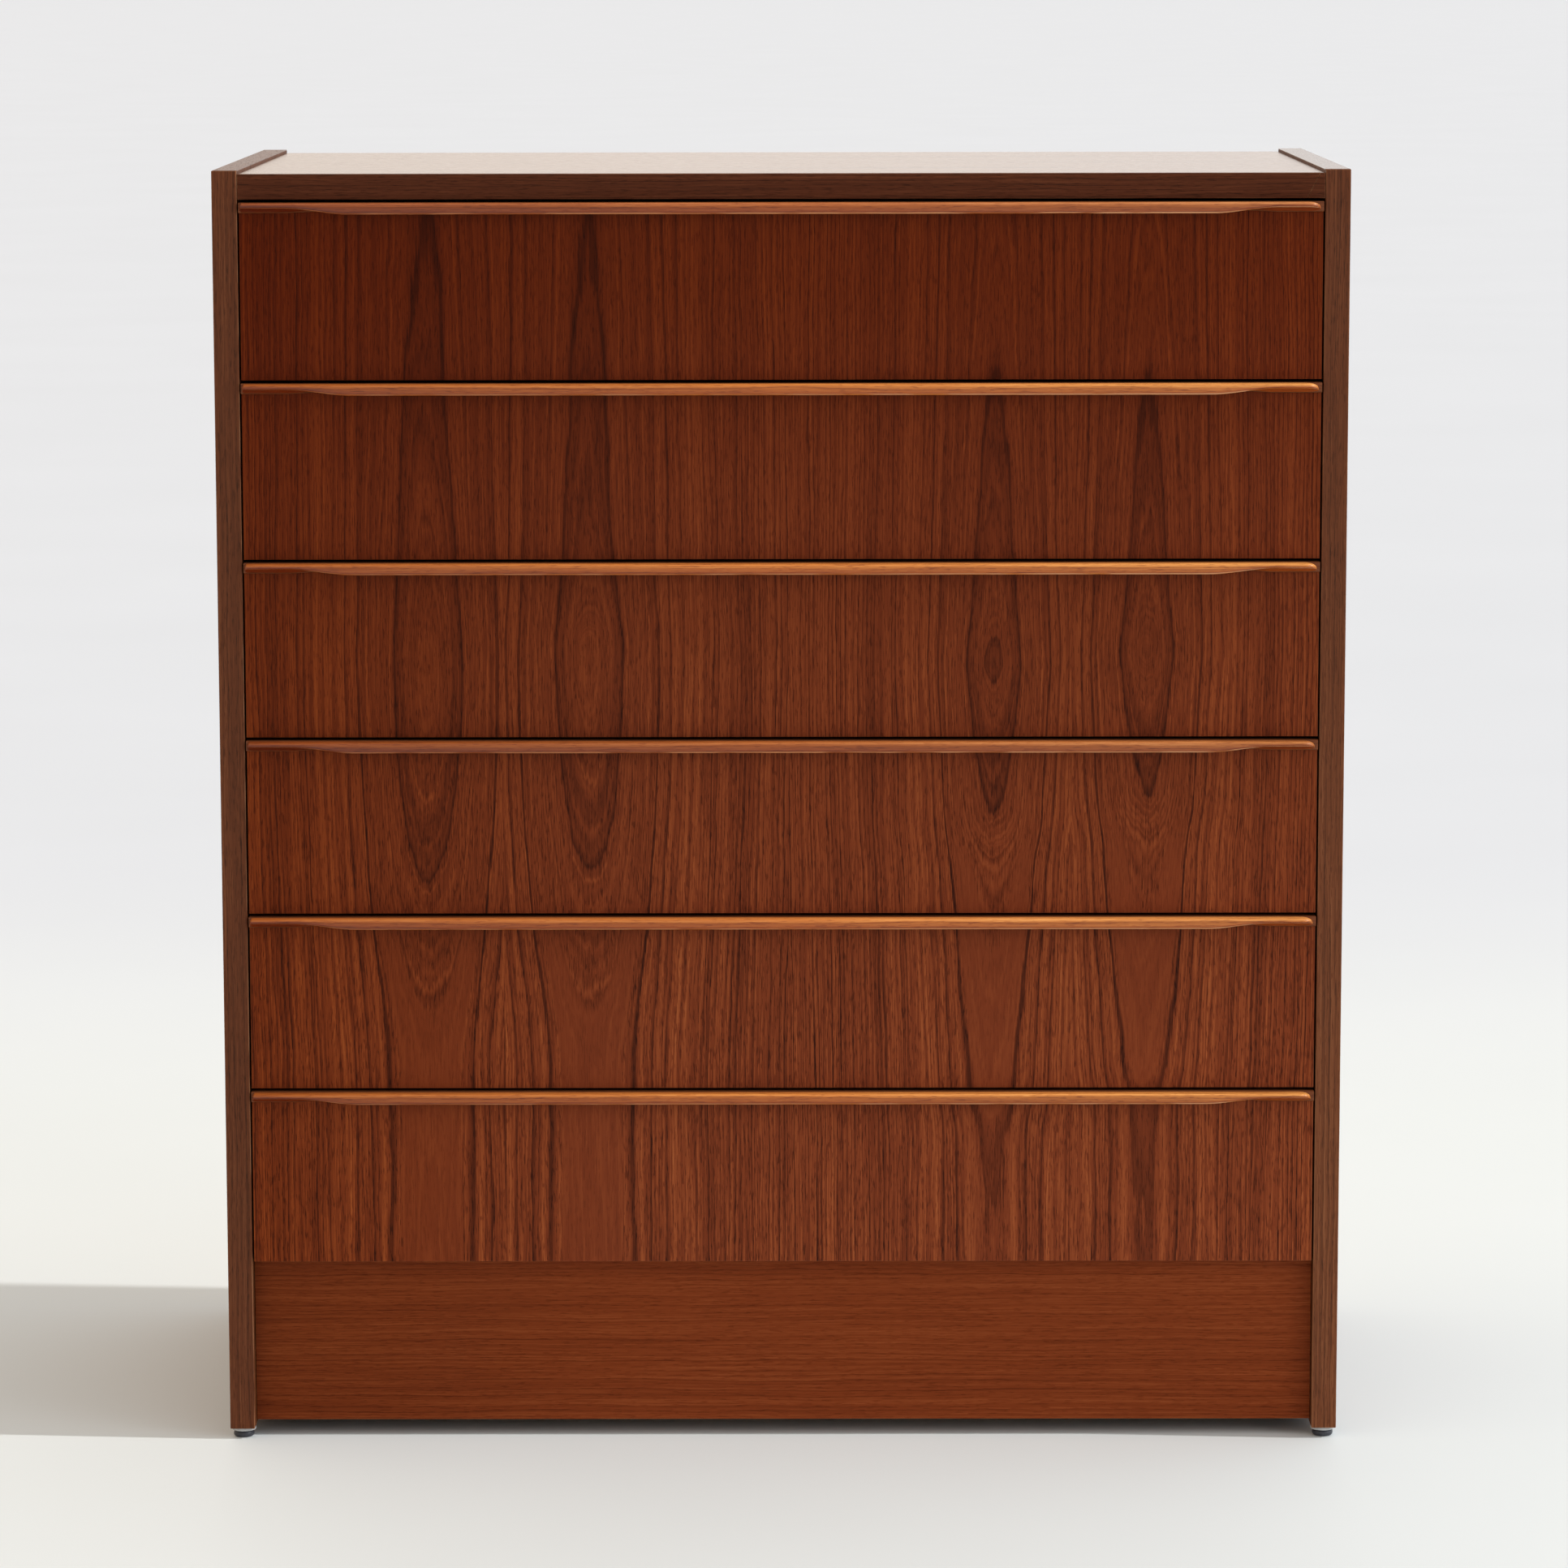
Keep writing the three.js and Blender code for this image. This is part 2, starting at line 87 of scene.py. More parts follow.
NAIL_HEAD = 2.6 * MM
NAIL_PROUD = 0.6 * MM
NAIL_SPACING = 90.0 * MM
NAIL_FROM_EDGE = 4.0 * MM
NAIL_WOBBLE = 1.0 * MM
BOARD_MIDDLE = 9.0 * MM  # of the bottom panel, below its upper face

SCREW_HEAD = 3.2 * MM
SCREW_SLOT = 0.8 * MM
SCREW_DEPTH = 0.6 * MM
SCREW_PROUD = 0.05 * MM
SCREW_FROM_END = 30.0 * MM
SCREW_SPACING = 150.0 * MM

# The pulls, in millimetres: see nose_section and strip_section.
NOSE_ROUND = 3.0  # how far back the round of the nose reaches
NOSE_DROP_MIDDLE = 8.0  # height of the nose in the middle of the drawer
NOSE_DROP_END = 3.7  # and near its ends
END_SAG = 1.4  # how much lower the nose is at its very end
END_SLOPE = 0.95  # share of the nose's height that its end is rounded off from above
ENDS = ((0.9, 2.2), (2.4, 9.0))  # where the nose starts and how it is rounded: left, right
TAPER_START = 32.0  # from the drawer's end, where the nose starts to deepen
TAPER_END = 78.0  # and where it has its full height
STRIP = 5.25  # thickness of the strip that the nose is worked on
STRIP_PROUD = 5.0
STRIP_ARRIS = 0.5
PULL_GAP = 0.05  # between the strip and the drawer's face
LIP = 7.2  # depth of the strip's lower edge in front of the drawer's face
LIP_REACH = 1.6  # how soon the underside slants down to the lip
COVE = 3.0  # height of the finger cove in the underside

FLOOR_HALF = 150.0

# The camera: a 134 mm lens on a 36 mm sensor, 4.1 m in front of the chest.
CAMERA_PLACE = Vector((0.0124, -4.3219, 1.0752))
CAMERA_PITCH = 0.1437
CAMERA_YAW = -0.00266
CAMERA_ROLL = -0.00159
CAMERA_LENS = 134.27
CAMERA_SENSOR = 36.0

# ------------------------ shader arithmetic


def arithmetic(operation):
    """A method of Wire that adds one Math node."""

    def apply(wire, *others):
        return wire.math(operation, *others)

    return apply


class Wire:
    """A number in a material. Arithmetic on it adds Math nodes to the material."""

    def __init__(self, tree, socket):
        self.tree = tree
        self.socket = socket

    def math(self, operation, *others):
        node = self.tree.nodes.new("ShaderNodeMath")
        node.operation = operation
        for slot, value in zip(node.inputs, (self, *others)):
            feed(self.tree, slot, value)
        return Wire(self.tree, node.outputs[0])

    __add__ = arithmetic("ADD")
    __sub__ = arithmetic("SUBTRACT")
    __mul__ = arithmetic("MULTIPLY")
    __truediv__ = arithmetic("DIVIDE")
    __abs__ = arithmetic("ABSOLUTE")
    power = arithmetic("POWER")
    most = arithmetic("MAXIMUM")
    above = arithmetic("GREATER_THAN")  # 1 where the wire is greater, 0 elsewhere
    whole = arithmetic("FLOOR")
    part = arithmetic("FRACT")

    def ramp(self, start, end):
        """A smooth step from 0 at start to 1 at end."""
        node = self.tree.nodes.new("ShaderNodeMapRange")
        node.interpolation_type = "SMOOTHSTEP"
        feed(self.tree, node.inputs["Value"], self)
        falling = start > end
        node.inputs["From Min"].default_value = min(start, end)
        node.inputs["From Max"].default_value = max(start, end)
        node.inputs["To Min"].default_value = 1.0 if falling else 0.0
        node.inputs["To Max"].default_value = 0.0 if falling else 1.0
        return Wire(self.tree, node.outputs["Result"])


def feed(tree, slot, value):
    """Connects a wire to a socket, or sets the socket's own value."""
    if isinstance(value, Wire):
        tree.links.new(value.socket, slot)
    else:
        slot.default_value = value


def vector_of(tree, *numbers):
    node = tree.nodes.new("ShaderNodeCombineXYZ")
    for slot, number in zip(node.inputs, numbers):
        feed(tree, slot, number)
    return node.outputs[0]


def noise(place, scales, detail=2.0, roughness=0.5):
    """Noise from about 0 to 1 at a place of three wires, with so many cells a metre along each."""
    tree = place[0].tree
    node = tree.nodes.new("ShaderNodeTexNoise")
    node.inputs["Scale"].default_value = 1.0
    node.inputs["Detail"].default_value = detail
    node.inputs["Roughness"].default_value = roughness
    scaled = [wire * scale for wire, scale in zip(place, scales)]
    tree.links.new(vector_of(tree, *scaled), node.inputs["Vector"])
    return Wire(tree, node.outputs["Fac"])


def chance(number, seed):
    """A random number from 0 to 1 for each whole part of a wire."""
    tree = number.tree
    node = tree.nodes.new("ShaderNodeTexWhiteNoise")
    node.noise_dimensions = "2D"
    tree.links.new(vector_of(tree, number.whole(), seed), node.inputs["Vector"])
    return Wire(tree, node.outputs["Value"])


def color_ramp(value, stops):
    """A colour for a value from 0 to 1. Stops are (place, (r, g, b))."""
    node = value.tree.nodes.new("ShaderNodeValToRGB")
    elements = node.color_ramp.elements
    while len(elements) < len(stops):
        elements.new(1.0)
    for element, (place, color) in zip(elements, stops):
        element.position = place
        element.color = (*color, 1.0)
    feed(value.tree, node.inputs["Fac"], value)
    return node.outputs["Color"]


def grey_ramp(value, stops, span):
    """A wire for a value from 0 to span. Stops are (place, number from 0 to 1)."""
    shares = [(place / span, (number,) * 3) for place, number in stops]
    return Wire(value.tree, color_ramp(value * (1.0 / span), shares))


def mix_colors(tree, factor, first, second, how):
    node = tree.nodes.new("ShaderNodeMix")
    node.data_type = "RGBA"
    node.blend_type = how
    feed(tree, node.inputs[0], factor)
    for slot, color in ((node.inputs[6], first), (node.inputs[7], second)):
        if isinstance(color, tuple):
            slot.default_value = (*color, 1.0)
        else:
            tree.links.new(color, slot)
    return node.outputs[2]


def blend_colors(factor, first, second):
    """first where the factor is 0, second where it is 1. A colour is a socket or a tuple."""
    return mix_colors(factor.tree, factor, first, second, "MIX")


def tinted(tree, color, tint):
    """A colour times another."""
    return mix_colors(tree, 1.0, color, tint, "MULTIPLY")


class Surface:
    """A new material with its shader, and wires for the place on the object."""

    def __init__(self, name):
        self.material = bpy.data.materials.new(name)
        self.material.use_nodes = True
        self.tree = self.material.node_tree
        self.shader = self.tree.nodes["Principled BSDF"]
        self.coords = self.tree.nodes.new("ShaderNodeTexCoord")
        self.x, self.y, self.z = self.split("Object")
        self.place = (self.x, self.y, self.z)

    def split(self, output):
        """The three parts of one of the coordinate node's vectors."""
        node = self.tree.nodes.new("ShaderNodeSeparateXYZ")
        self.tree.links.new(self.coords.outputs[output], node.inputs[0])
        return [Wire(self.tree, socket) for socket in node.outputs]

    def normals(self):
        """The way the surface faces."""
        return self.split("Normal")

    def constant(self, **numbers):
        """Sets numbers that are the same all over, such as Coat_Weight=1.0."""
        for name, number in numbers.items():
            self.shader.inputs[name.replace("_", " ")].default_value = number

    def color(self, socket):
        self.tree.links.new(socket, self.shader.inputs["Base Color"])

    def roughness(self, value):
        feed(self.tree, self.shader.inputs["Roughness"], value)

    def bump(self, height, distance, strength=0.4):
        """Bends the shading by a height from 0 to 1 that is so deep in metres."""
        node = self.tree.nodes.new("ShaderNodeBump")
        node.inputs["Distance"].default_value = distance
        node.inputs["Strength"].default_value = strength
        feed(self.tree, node.inputs["Height"], height)
        self.tree.links.new(node.outputs["Normal"], self.shader.inputs["Normal"])

    def mark(self, name):
        """How much a face is marked under a name, 0 where it isn't."""
        node = self.tree.nodes.new("ShaderNodeAttribute")
        node.attribute_name = name
        return Wire(self.tree, node.outputs["Fac"])


# ------------------------ veneer figure


class Grain:
    """Wood by place, as three wires in millimetres: across, through and along the grain."""

    def __init__(self, across, through, along):
        self.across = across
        self.through = through
        self.along = along

    def noise(self, wide, long, detail=1.0, roughness=0.5):
        """Noise with cells so many millimetres wide and long."""
        scales = (1.0 / wide, 1.0 / wide, 1.0 / long)
        return noise((self.across, self.through, self.along), scales, detail, roughness)

    def bent(self, field):
        """The same wood with its streaks following the rings."""
        return Grain(field, self.through, self.along)


def board_grain(surface, axes, offset=0.0):
    """The Grain of a board. axes says which way is across, through and along, such as "xyz"."""
    across, through, along = (getattr(surface, axis) * (1.0 / MM) for axis in axes)
    return Grain(across, through, along + offset)


class Leaf(NamedTuple):
    """The figure of one leaf of veneer. Lengths are in millimetres.

    A leaf is cut across a log that swells, so its rings are nested ovals about an eye. Each
    ring is named by half the width that it has at the height of the eye: its ring number.
    """

    axis: float  # where the middle line of the figure is, across the grain
    eye: float  # and where the eye is, along the grain
    up: float  # reach of the main oval above the eye
    down: float  # and below it
    narrow: float = 1.0  # how much narrower the ovals are than their ring numbers say
    straight: float = 0.3  # how straight the rings run above the eye, from 0 to 1
    rounded: float = 0.6  # how round they close below it, from 0 to 1
    widening: float = 0.0  # how suddenly they widen further down
    last: float = 40.0  # the last ring that closes below the eye
    smooth_start: float = 36.0  # the first of the rings that are smooth below the main oval
    smooth_end: float = 46.0  # and the last
    eye_dark: float = 0.0  # how dark the eye is, from 0 to 1


MAIN_OVAL = 24.0  # ring number of the darkest line
EYE_ROUND = 32.0  # how far from the eye the ovals are still blunt, in millimetres
UP_OPENING = 0.02  # share of a leaf's upward reach over which its rings start to close
SPREAD_BEYOND = 0.15  # how fast the rings close above the main oval

# Shares of a leaf's downward reach between which things happen.
WIDENS = ((1.0, 1.45), (3.0, 3.4))
TURNS_SMOOTH = (1.1, 1.5)
TIPS_FADE = (2.9, 3.3)

TIP_RINGS = (58.0, 53.0)  # rings whose streaks fade at their lower tips
TIP_SMOOTH = 0.4  # and how smooth the wood is there
LAST_BLEND = 1.2  # how gently the last ring stops closing


def step_values(wire, borders, values):
    """values[0] below the first border, values[1] up to the next, and so on."""
    total = wire * 0.0 + values[0]
    for border, before, after in zip(borders, values, values[1:]):
        total = total + wire.above(border) * (after - before)
    return total


def rest_of(share):
    """What is left of 1."""
    return share * -1.0 + 1.0


def figure_field(grain, seams, leaves):
    """The ring number at each place of veneer leaves that meet at seams, how smooth the wood
    is there, and how dark its eye is."""
    leaf = Leaf(*(step_values(grain.across, seams, values) for values in zip(*leaves)))
    off_axis = (grain.across - leaf.axis) * leaf.narrow
    off_eye = grain.along - leaf.eye
    up = off_eye.most(0.0) / leaf.up
    down = (off_eye * -1.0).most(0.0) / leaf.down
    squared = off_eye * off_eye
    near_eye = squared / (squared + EYE_ROUND * EYE_ROUND)
    beyond = (up - 1.0).most(0.0)
    up_closing = near_eye * up.ramp(0.0, UP_OPENING) * (leaf.straight + rest_of(leaf.straight) * up)
    widened = down.ramp(*WIDENS[0]) + down.ramp(*WIDENS[1])
    down_closing = down * (down * leaf.rounded + rest_of(leaf.rounded)) + widened * leaf.widening
    last_share = leaf.last * (1.0 / MAIN_OVAL)
    limited = down_closing.math("SMOOTH_MIN", last_share * last_share, LAST_BLEND)
    closing = up_closing + beyond * beyond * SPREAD_BEYOND + limited.most(0.0)
    field = (off_axis * off_axis + closing * (MAIN_OVAL * MAIN_OVAL)).power(0.5)
    between = (field - leaf.smooth_start).ramp(0.0, 1.0) * (field - leaf.smooth_end).ramp(0.0, -1.0)
    tips = field.ramp(*TIP_RINGS) * down.ramp(*TIPS_FADE) * TIP_SMOOTH
    return field, between * down.ramp(*TURNS_SMOOTH) + tips, leaf.eye_dark


# ------------------------ late wood lines

# Lines near the middle of a figure: ring number, width, darkness, and how dark it is inside
# the line. The first is the rim of the eye.
INNER_LINES = (
    (8.5, 1.5, 0.9, 0.55),
    (14.5, 2.0, 0.4, 0.0),
    (24.4, 2.4, 1.0, 0.0),
    (34.0, 1.8, 0.5, 0.0),
    (41.0, 1.8, 0.35, 0.0),
)
LINE_CORE = 0.8  # width of the darkest part of a line
LINE_SHOULDER = 0.4  # share of its darkness that it has where the core begins
LINE_FADE = 0.5  # width of its sharp side
EYE_EDGE = (10.0, 12.0)  # rings between which the eye ends
INNER_SPAN = 46.0  # beyond these, rings of chance strength follow
INNER_OVERLAP = 5.0

RING_WIDTH = 8.5
CROWDING_START = 85.0  # further out the rings crowd together
CROWDING = 0.15
STRENGTHS = (-0.1, 0.95)  # chances between which a line goes from nothing to full strength

# The shade of one ring, from its start to the next ring's at 1.
SLOW_DARKENING = (0.2, 0.9)
SLOW_SHARE = 0.3
QUICK_DARKENING = (0.7, 0.86)
QUICK_SHARE = 0.7
RING_END = (1.0, 0.94)


def inner_lines(field, eye_dark):
    """Darkness of the listed lines."""
    stops = []
    for place, width, darkness, inside in INNER_LINES:
        shoulder = inside + (darkness - inside) * LINE_SHOULDER
        stops.append((place - width, inside))
        stops.append((place - LINE_CORE, shoulder))
        stops.append((place, darkness))
        stops.append((place + LINE_FADE, 0.0))
    return grey_ramp(field, stops, INNER_SPAN) * eye_dark.most(field.ramp(*EYE_EDGE))


def ring_lines(field, seed):
    """Darkness of lines of chance strength."""
    crowded = (field - CROWDING_START).most(0.0) * CROWDING
    count = field * (1.0 / RING_WIDTH) + crowded
    strength = chance(count, seed).ramp(*STRENGTHS)
    late = count.part()
    shade = late.ramp(*SLOW_DARKENING) * SLOW_SHARE + late.ramp(*QUICK_DARKENING) * QUICK_SHARE
    return shade * late.ramp(*RING_END) * strength


# ------------------------ teak

# Lightness of figured veneer by ring number, from 0 to the span.
TONE_SPAN = 200.0
RING_TONES = (
    (0.0, 0.47),
    (8.0, 0.52),
    (14.0, 0.52),
    (19.0, 0.44),
    (24.0, 0.4),
    (27.0, 0.48),
    (46.0, 0.5),
    (56.0, 0.54),
    (66.0, 0.5),
    (74.0, 0.57),
    (84.0, 0.5),
    (104.0, 0.48),
    (124.0, 0.5),
    (142.0, 0.56),
    (160.0, 0.54),
    (200.0, 0.5),
)
PLAIN_TONE = 0.5
LIFT = 0.03  # how much lighter than its tones all teak is

# Noise in the wood. The first two numbers are the width and length of a cell in millimetres.
FIBRE = (0.75, 26.0, 2.0, 0.6)
PORE = (0.75, 8.0)
BAND = (11.0, 900.0)
STRIPE = (1.2, 220.0, 2.0)
WORN_PATCH = (3.0, 30.0)

# How far the rings wander with the fibre, and with wider noise: the cell and how far.
FIBRE_WANDER = 1.2
WANDERS = (
    ((2.2, 120.0), 1.6),
    ((26.0, 150.0), 5.0),
    ((9.0, 40.0), 2.0),
)

# How much each kind of detail changes the colour.
BAND_CONTRAST = 0.2
FIBRE_CONTRAST = 0.52
STRIPE_CONTRAST = 0.75
PORE_CONTRAST = 0.2
LINE_CONTRAST = 0.34
PLAIN_LINE_SHARE = 0.6  # of boards without a figure
STRIPES_FROM = 14.0  # inside this ring the stripes fade out
SMOOTH_CALM = 0.65  # share of the detail that smooth rings lose
SMOOTH_LINE_CALM = 0.9
CALM_HEIGHTS = (0.2, 0.85)  # between which the contrast sinks by calm_above, in metres

PLAIN_PLACE = 500.0  # keeps the ring number of boards without a figure above 0
PORE_EDGE = (0.56, 0.66)
WORN_EDGE = (0.35, 0.65)
WORN_SHARE = 0.8
POLISH_ROUGHNESS = 0.2
ROUGHNESS_CHANGE = 0.15
PORE_DEPTH = 0.1 * MM
WORN_AND_LIT = (0.4, 0.19, 0.09)  # bare wood on a worn arris, and on the left side's front strip a painted highlight too
# bare wood on the pulls' lower edge, which also stands for a painted highlight of the light from the
# floor
PULL_WEAR_AND_SHEEN = (0.67, 0.34, 0.17)


def centred(wire):
    """Noise about 0."""
    return wire - 0.5


def wandering(grain, fibre):
    """How far the rings are from where they would be in clear wood."""
    total = centred(fibre) * FIBRE_WANDER
    for cell, reach in WANDERS:
        total = total + centred(grain.noise(*cell)) * reach
    return total


def figured(grain, figure, wander, seed):
    """The ring number, tone, dark lines and smoothness of veneer with a figure."""
    field, smooth, eye_dark = figure_field(grain, *figure)
    field = field + wander
    outer = ring_lines(field, seed) * field.ramp(INNER_SPAN - INNER_OVERLAP, INNER_SPAN)
    lines = (inner_lines(field, eye_dark) + outer) * (smooth * -SMOOTH_LINE_CALM + 1.0)
    return field, grey_ramp(field, RING_TONES, TONE_SPAN), lines, smooth


def unfigured(grain, wander, seed):
    """The same for strips and boards with straight stripes."""
    field = grain.across + wander + PLAIN_PLACE
    nowhere = field * 0.0
    return field, nowhere + PLAIN_TONE, ring_lines(field, seed) * PLAIN_LINE_SHARE, nowhere


def teak(
    name,
    axes,
    stops,
    figure=None,
    offset=0.0,
    seed=0.0,
    contrast=1.0,
    calm_above=0.0,
    roughness=0.45,
    shine=0.12,
    polish=0.0,
    bare=WORN_AND_LIT,
    tint=None,
):
    """A teak surface. A figure is the seams and the leaves of veneer; without one the wood is
    plainly striped. stops are its colours from dark to light, and a tint is a function that
    gives a colour to multiply them by."""
    surface = Surface(name)
    surface.constant(Specular_IOR_Level=shine, Coat_Weight=polish, Coat_Roughness=POLISH_ROUGHNESS)
    grain = board_grain(surface, axes, offset)
    fibre = grain.noise(*FIBRE)
    pores = grain.noise(*PORE).ramp(*PORE_EDGE)
    wander = wandering(grain, fibre)
    if figure:
        field, tone, lines, smooth = figured(grain, figure, wander, seed)
    else:
        field, tone, lines, smooth = unfigured(grain, wander, seed)
    flow = grain.bent(field)
    stripes = centred(flow.noise(*STRIPE)) * field.ramp(0.0, STRIPES_FROM)
    rough = centred(fibre) * FIBRE_CONTRAST + stripes * STRIPE_CONTRAST - pores * PORE_CONTRAST
    rough = rough * (smooth * -SMOOTH_CALM + 1.0)
    change = centred(flow.noise(*BAND)) * BAND_CONTRAST + rough - lines * LINE_CONTRAST
    strength = surface.z.ramp(*CALM_HEIGHTS) * -calm_above + contrast
    color = color_ramp(tone + change * strength + LIFT, stops)
    worn = surface.mark("arris") * grain.noise(*WORN_PATCH).ramp(*WORN_EDGE)
    color = blend_colors(worn * WORN_SHARE, color, bare)
    if tint:
        color = tinted(surface.tree, color, tint(surface))
    surface.color(color)
    surface.roughness(centred(fibre) * ROUGHNESS_CHANGE + pores * ROUGHNESS_CHANGE + roughness)
    surface.bump(fibre * 0.6 - pores * 0.8, PORE_DEPTH)
    return surface.material


def shades(dark, middle, light):
    """Stops for a color_ramp."""
    return ((0.0, dark), (0.5, middle), (1.0, light))


def shades(dark, middle, light):
    """Stops for a color_ramp."""
    return ((0.0, dark), (0.5, middle), (1.0, light))


def shades(dark, middle, light):
    """Stops for a color_ramp."""
    return ((0.0, dark), (0.5, middle), (1.0, light))


# Colours of teak from dark to light.
FRONT_STOPS = (
    (0.0, (0.032, 0.008, 0.004)),
    (0.3, (0.11, 0.022, 0.008)),
    (0.5, (0.2, 0.0405, 0.0133)),
    (0.7, (0.316, 0.076, 0.0235)),
    (1.0, (0.48, 0.156, 0.049)),
)
SIDE_STOPS = shades((0.03, 0.01, 0.0045), (0.135, 0.042, 0.014), (0.28, 0.11, 0.04))
TOP_STOPS = shades((0.13, 0.045, 0.018), (0.33, 0.155, 0.07), (0.52, 0.3, 0.15))
EDGING_STOPS = shades((0.037, 0.012, 0.005), (0.12, 0.034, 0.012), (0.22, 0.077, 0.03))
TOP_STRIP_STOPS = shades((0.03, 0.009, 0.004), (0.086, 0.023, 0.009), (0.16, 0.05, 0.021))
PLINTH_STOPS = shades((0.085, 0.014, 0.0035), (0.2, 0.0385, 0.0092), (0.34, 0.088, 0.024))
# the pulls' strips are painted darker than their noses, as painted shade under the noses
SHADED_STRIP_STOPS = shades((0.05, 0.012, 0.004), (0.15, 0.042, 0.013), (0.26, 0.085, 0.026))
PULL_STOPS = shades((0.22, 0.051, 0.0085), (0.54, 0.184, 0.038), (0.78, 0.36, 0.1))

# What the two left leaves of the fronts share, and the two right ones.
LEFT_LEAF = dict(rounded=0.8, last=40.2, smooth_start=37.0)
RIGHT_LEAF = dict(narrow=1.26, rounded=0.0, widening=0.65, smooth_start=38.5, smooth_end=48.5)

# The figures: seams between the leaves, and the leaves.
FRONT_FIGURE = (
    (-198.5, 5.0, 205.6),
    (
        Leaf(-252.0, 564.0, 321.0, 152.0, straight=0.1, **LEFT_LEAF),
        Leaf(-137.0, 576.0, 285.0, 157.0, straight=0.5, **LEFT_LEAF),
        Leaf(150.5, 563.0, 197.0, 103.0, last=50.6, eye_dark=1.0, **RIGHT_LEAF),
        Leaf(259.0, 570.0, 177.0, 97.0, last=50.2, eye_dark=0.3, **RIGHT_LEAF),
    ),
)
SIDE_FIGURE = (
    (6.0,),
    (
        Leaf(-92.0, 610.0, 260.0, 240.0),
        Leaf(104.0, 596.0, 250.0, 230.0, 1.1, 0.4, 0.4, widening=0.3, last=44.0, eye_dark=0.2),
    ),
)
TOP_FIGURE = (
    (8.0,),
    (
        Leaf(-96.0, -180.0, 360.0, 300.0),
        Leaf(112.0, -168.0, 350.0, 290.0, straight=0.4, rounded=0.5, widening=0.2),
    ),
)

WHITE = (1.0, 1.0, 1.0)
ACROSS_START = 0.5  # added to X in metres, so that it fits in a ramp from 0 to 1


def painted_shade_above_left(surface):
    """Painted shade on the fronts: they are lightest low down in the middle, and painted darker and
    redder towards the top and the left, where less light falls on them."""
    upward = (
        (0.2, WHITE),
        (0.57, (0.77, 0.71, 0.63)),
        (0.7, (0.66, 0.55, 0.44)),
        (0.83, (0.54, 0.37, 0.19)),
    )
    across = (
        (0.13, (0.83, 0.69, 0.44)),
        (0.38, (0.99, 0.99, 0.98)),
        (0.6, WHITE),
        (0.87, (0.99, 0.99, 0.97)),
    )
    painted_shade_by_height = color_ramp(surface.z, upward)
    return tinted(surface.tree, painted_shade_by_height, color_ramp(surface.x + ACROSS_START, across))


def painted_light_low_right(surface):
    """Painted light: the front edge of the right side is painted palest near the floor, where more
    light falls on it.
    """
    share = surface.x.ramp(-0.1, 0.1) * surface.z.ramp(0.75, 0.1)
    return blend_colors(share, WHITE, (1.35, 1.45, 1.5))


# Painted shade: the top and the plinth are painted darker towards the left, away from the light on
# the right.
def painted_shade_left(surface):
    return color_ramp(surface.x + ACROSS_START, ((0.13, (0.8, 0.78, 0.72)), (0.4, WHITE)))


def painted_light_and_shade_on_pulls(surface):
    """Painted light on the pulls: a painted highlight on top and towards the right end, where the
    light from the right falls, and painted shade underneath and towards the left."""
    along = ((0.05, (0.42, 0.23, 0.15)), (0.5, (0.82, 0.64, 0.5)), (0.95, WHITE))
    # painted highlight on faces that look up, painted shade on those that look down
    painted_top_light = (
        (0.17, (0.54, 0.3, 0.15)),
        (0.36, (0.88, 0.73, 0.55)),
        (0.6, WHITE),
        (0.85, (1.55, 1.9, 2.3)),
    )
    lift = surface.normals()[2] * 0.5 + 0.5
    painted_top_tint = blend_colors(surface.mark("arris"), color_ramp(lift, painted_top_light), WHITE)
    return tinted(surface.tree, color_ramp(surface.x + ACROSS_START, along), painted_top_tint)


# the fronts' tint is painted shade, darker towards the top and the left
TEAK_FRONT = teak(
    "teak_front",
    "xyz",
    FRONT_STOPS,
    FRONT_FIGURE,
    seed=3.0,
    calm_above=0.35,
    shine=0.05,
    tint=painted_shade_above_left,
)
TEAK_SIDE = teak("teak_side", "yxz", SIDE_STOPS, SIDE_FIGURE, seed=11.0, shine=0.05)
TEAK_TOP = teak(
    "teak_top",
    "yzx",
    TOP_STOPS,
    TOP_FIGURE,
    seed=5.0,
    roughness=0.22,
    shine=0.5,
    polish=0.93,
    tint=painted_shade_left,
)
# the upright strips carry painted light, paler low down on the right
TEAK_EDGING_UP = teak("teak_edging_upright", "xyz", EDGING_STOPS, seed=2.0, tint=painted_light_low_right)
TEAK_EDGING_TOP = teak("teak_edging_top", "zyx", TOP_STRIP_STOPS, offset=90.0, seed=4.0, shine=0.06)
TEAK_LIPPINGS = {
    hand: teak(
        f"teak_lipping_{hand}",
        "xzy",
        EDGING_STOPS,
        offset=50.0,
        seed=6.0,
        contrast=0.8,
        roughness=0.3,
        shine=0.6,
        polish=polish,
    )
    for hand, polish in (("left", 0.0), ("right", 1.0))
}
TEAK_PLINTH = teak(
    "teak_plinth",
    "zyx",
    PLINTH_STOPS,
    seed=8.0,
    contrast=0.85,
    shine=0.05,
    tint=painted_shade_left,
)
TEAK_PULL_STRIP = teak("teak_pull_strip", "zyx", SHADED_STRIP_STOPS, offset=30.0, seed=31.0, shine=0.2)

# How light each drawer's pull is, and how red.
PULL_TINTS = (
    (0.71, 0.6),
    (1.04, 0.0),
    (1.04, 0.0),
    (0.72, 0.5),
    (1.0, 0.1),
    (1.0, 0.0),
)
REDDENING = 0.25  # share of its green that the reddest pull would lack
PULL_OFFSET = 700.0  # how far along the log one pull is cut from the next, in millimetres
FIRST_PULL_SEED = 20.0


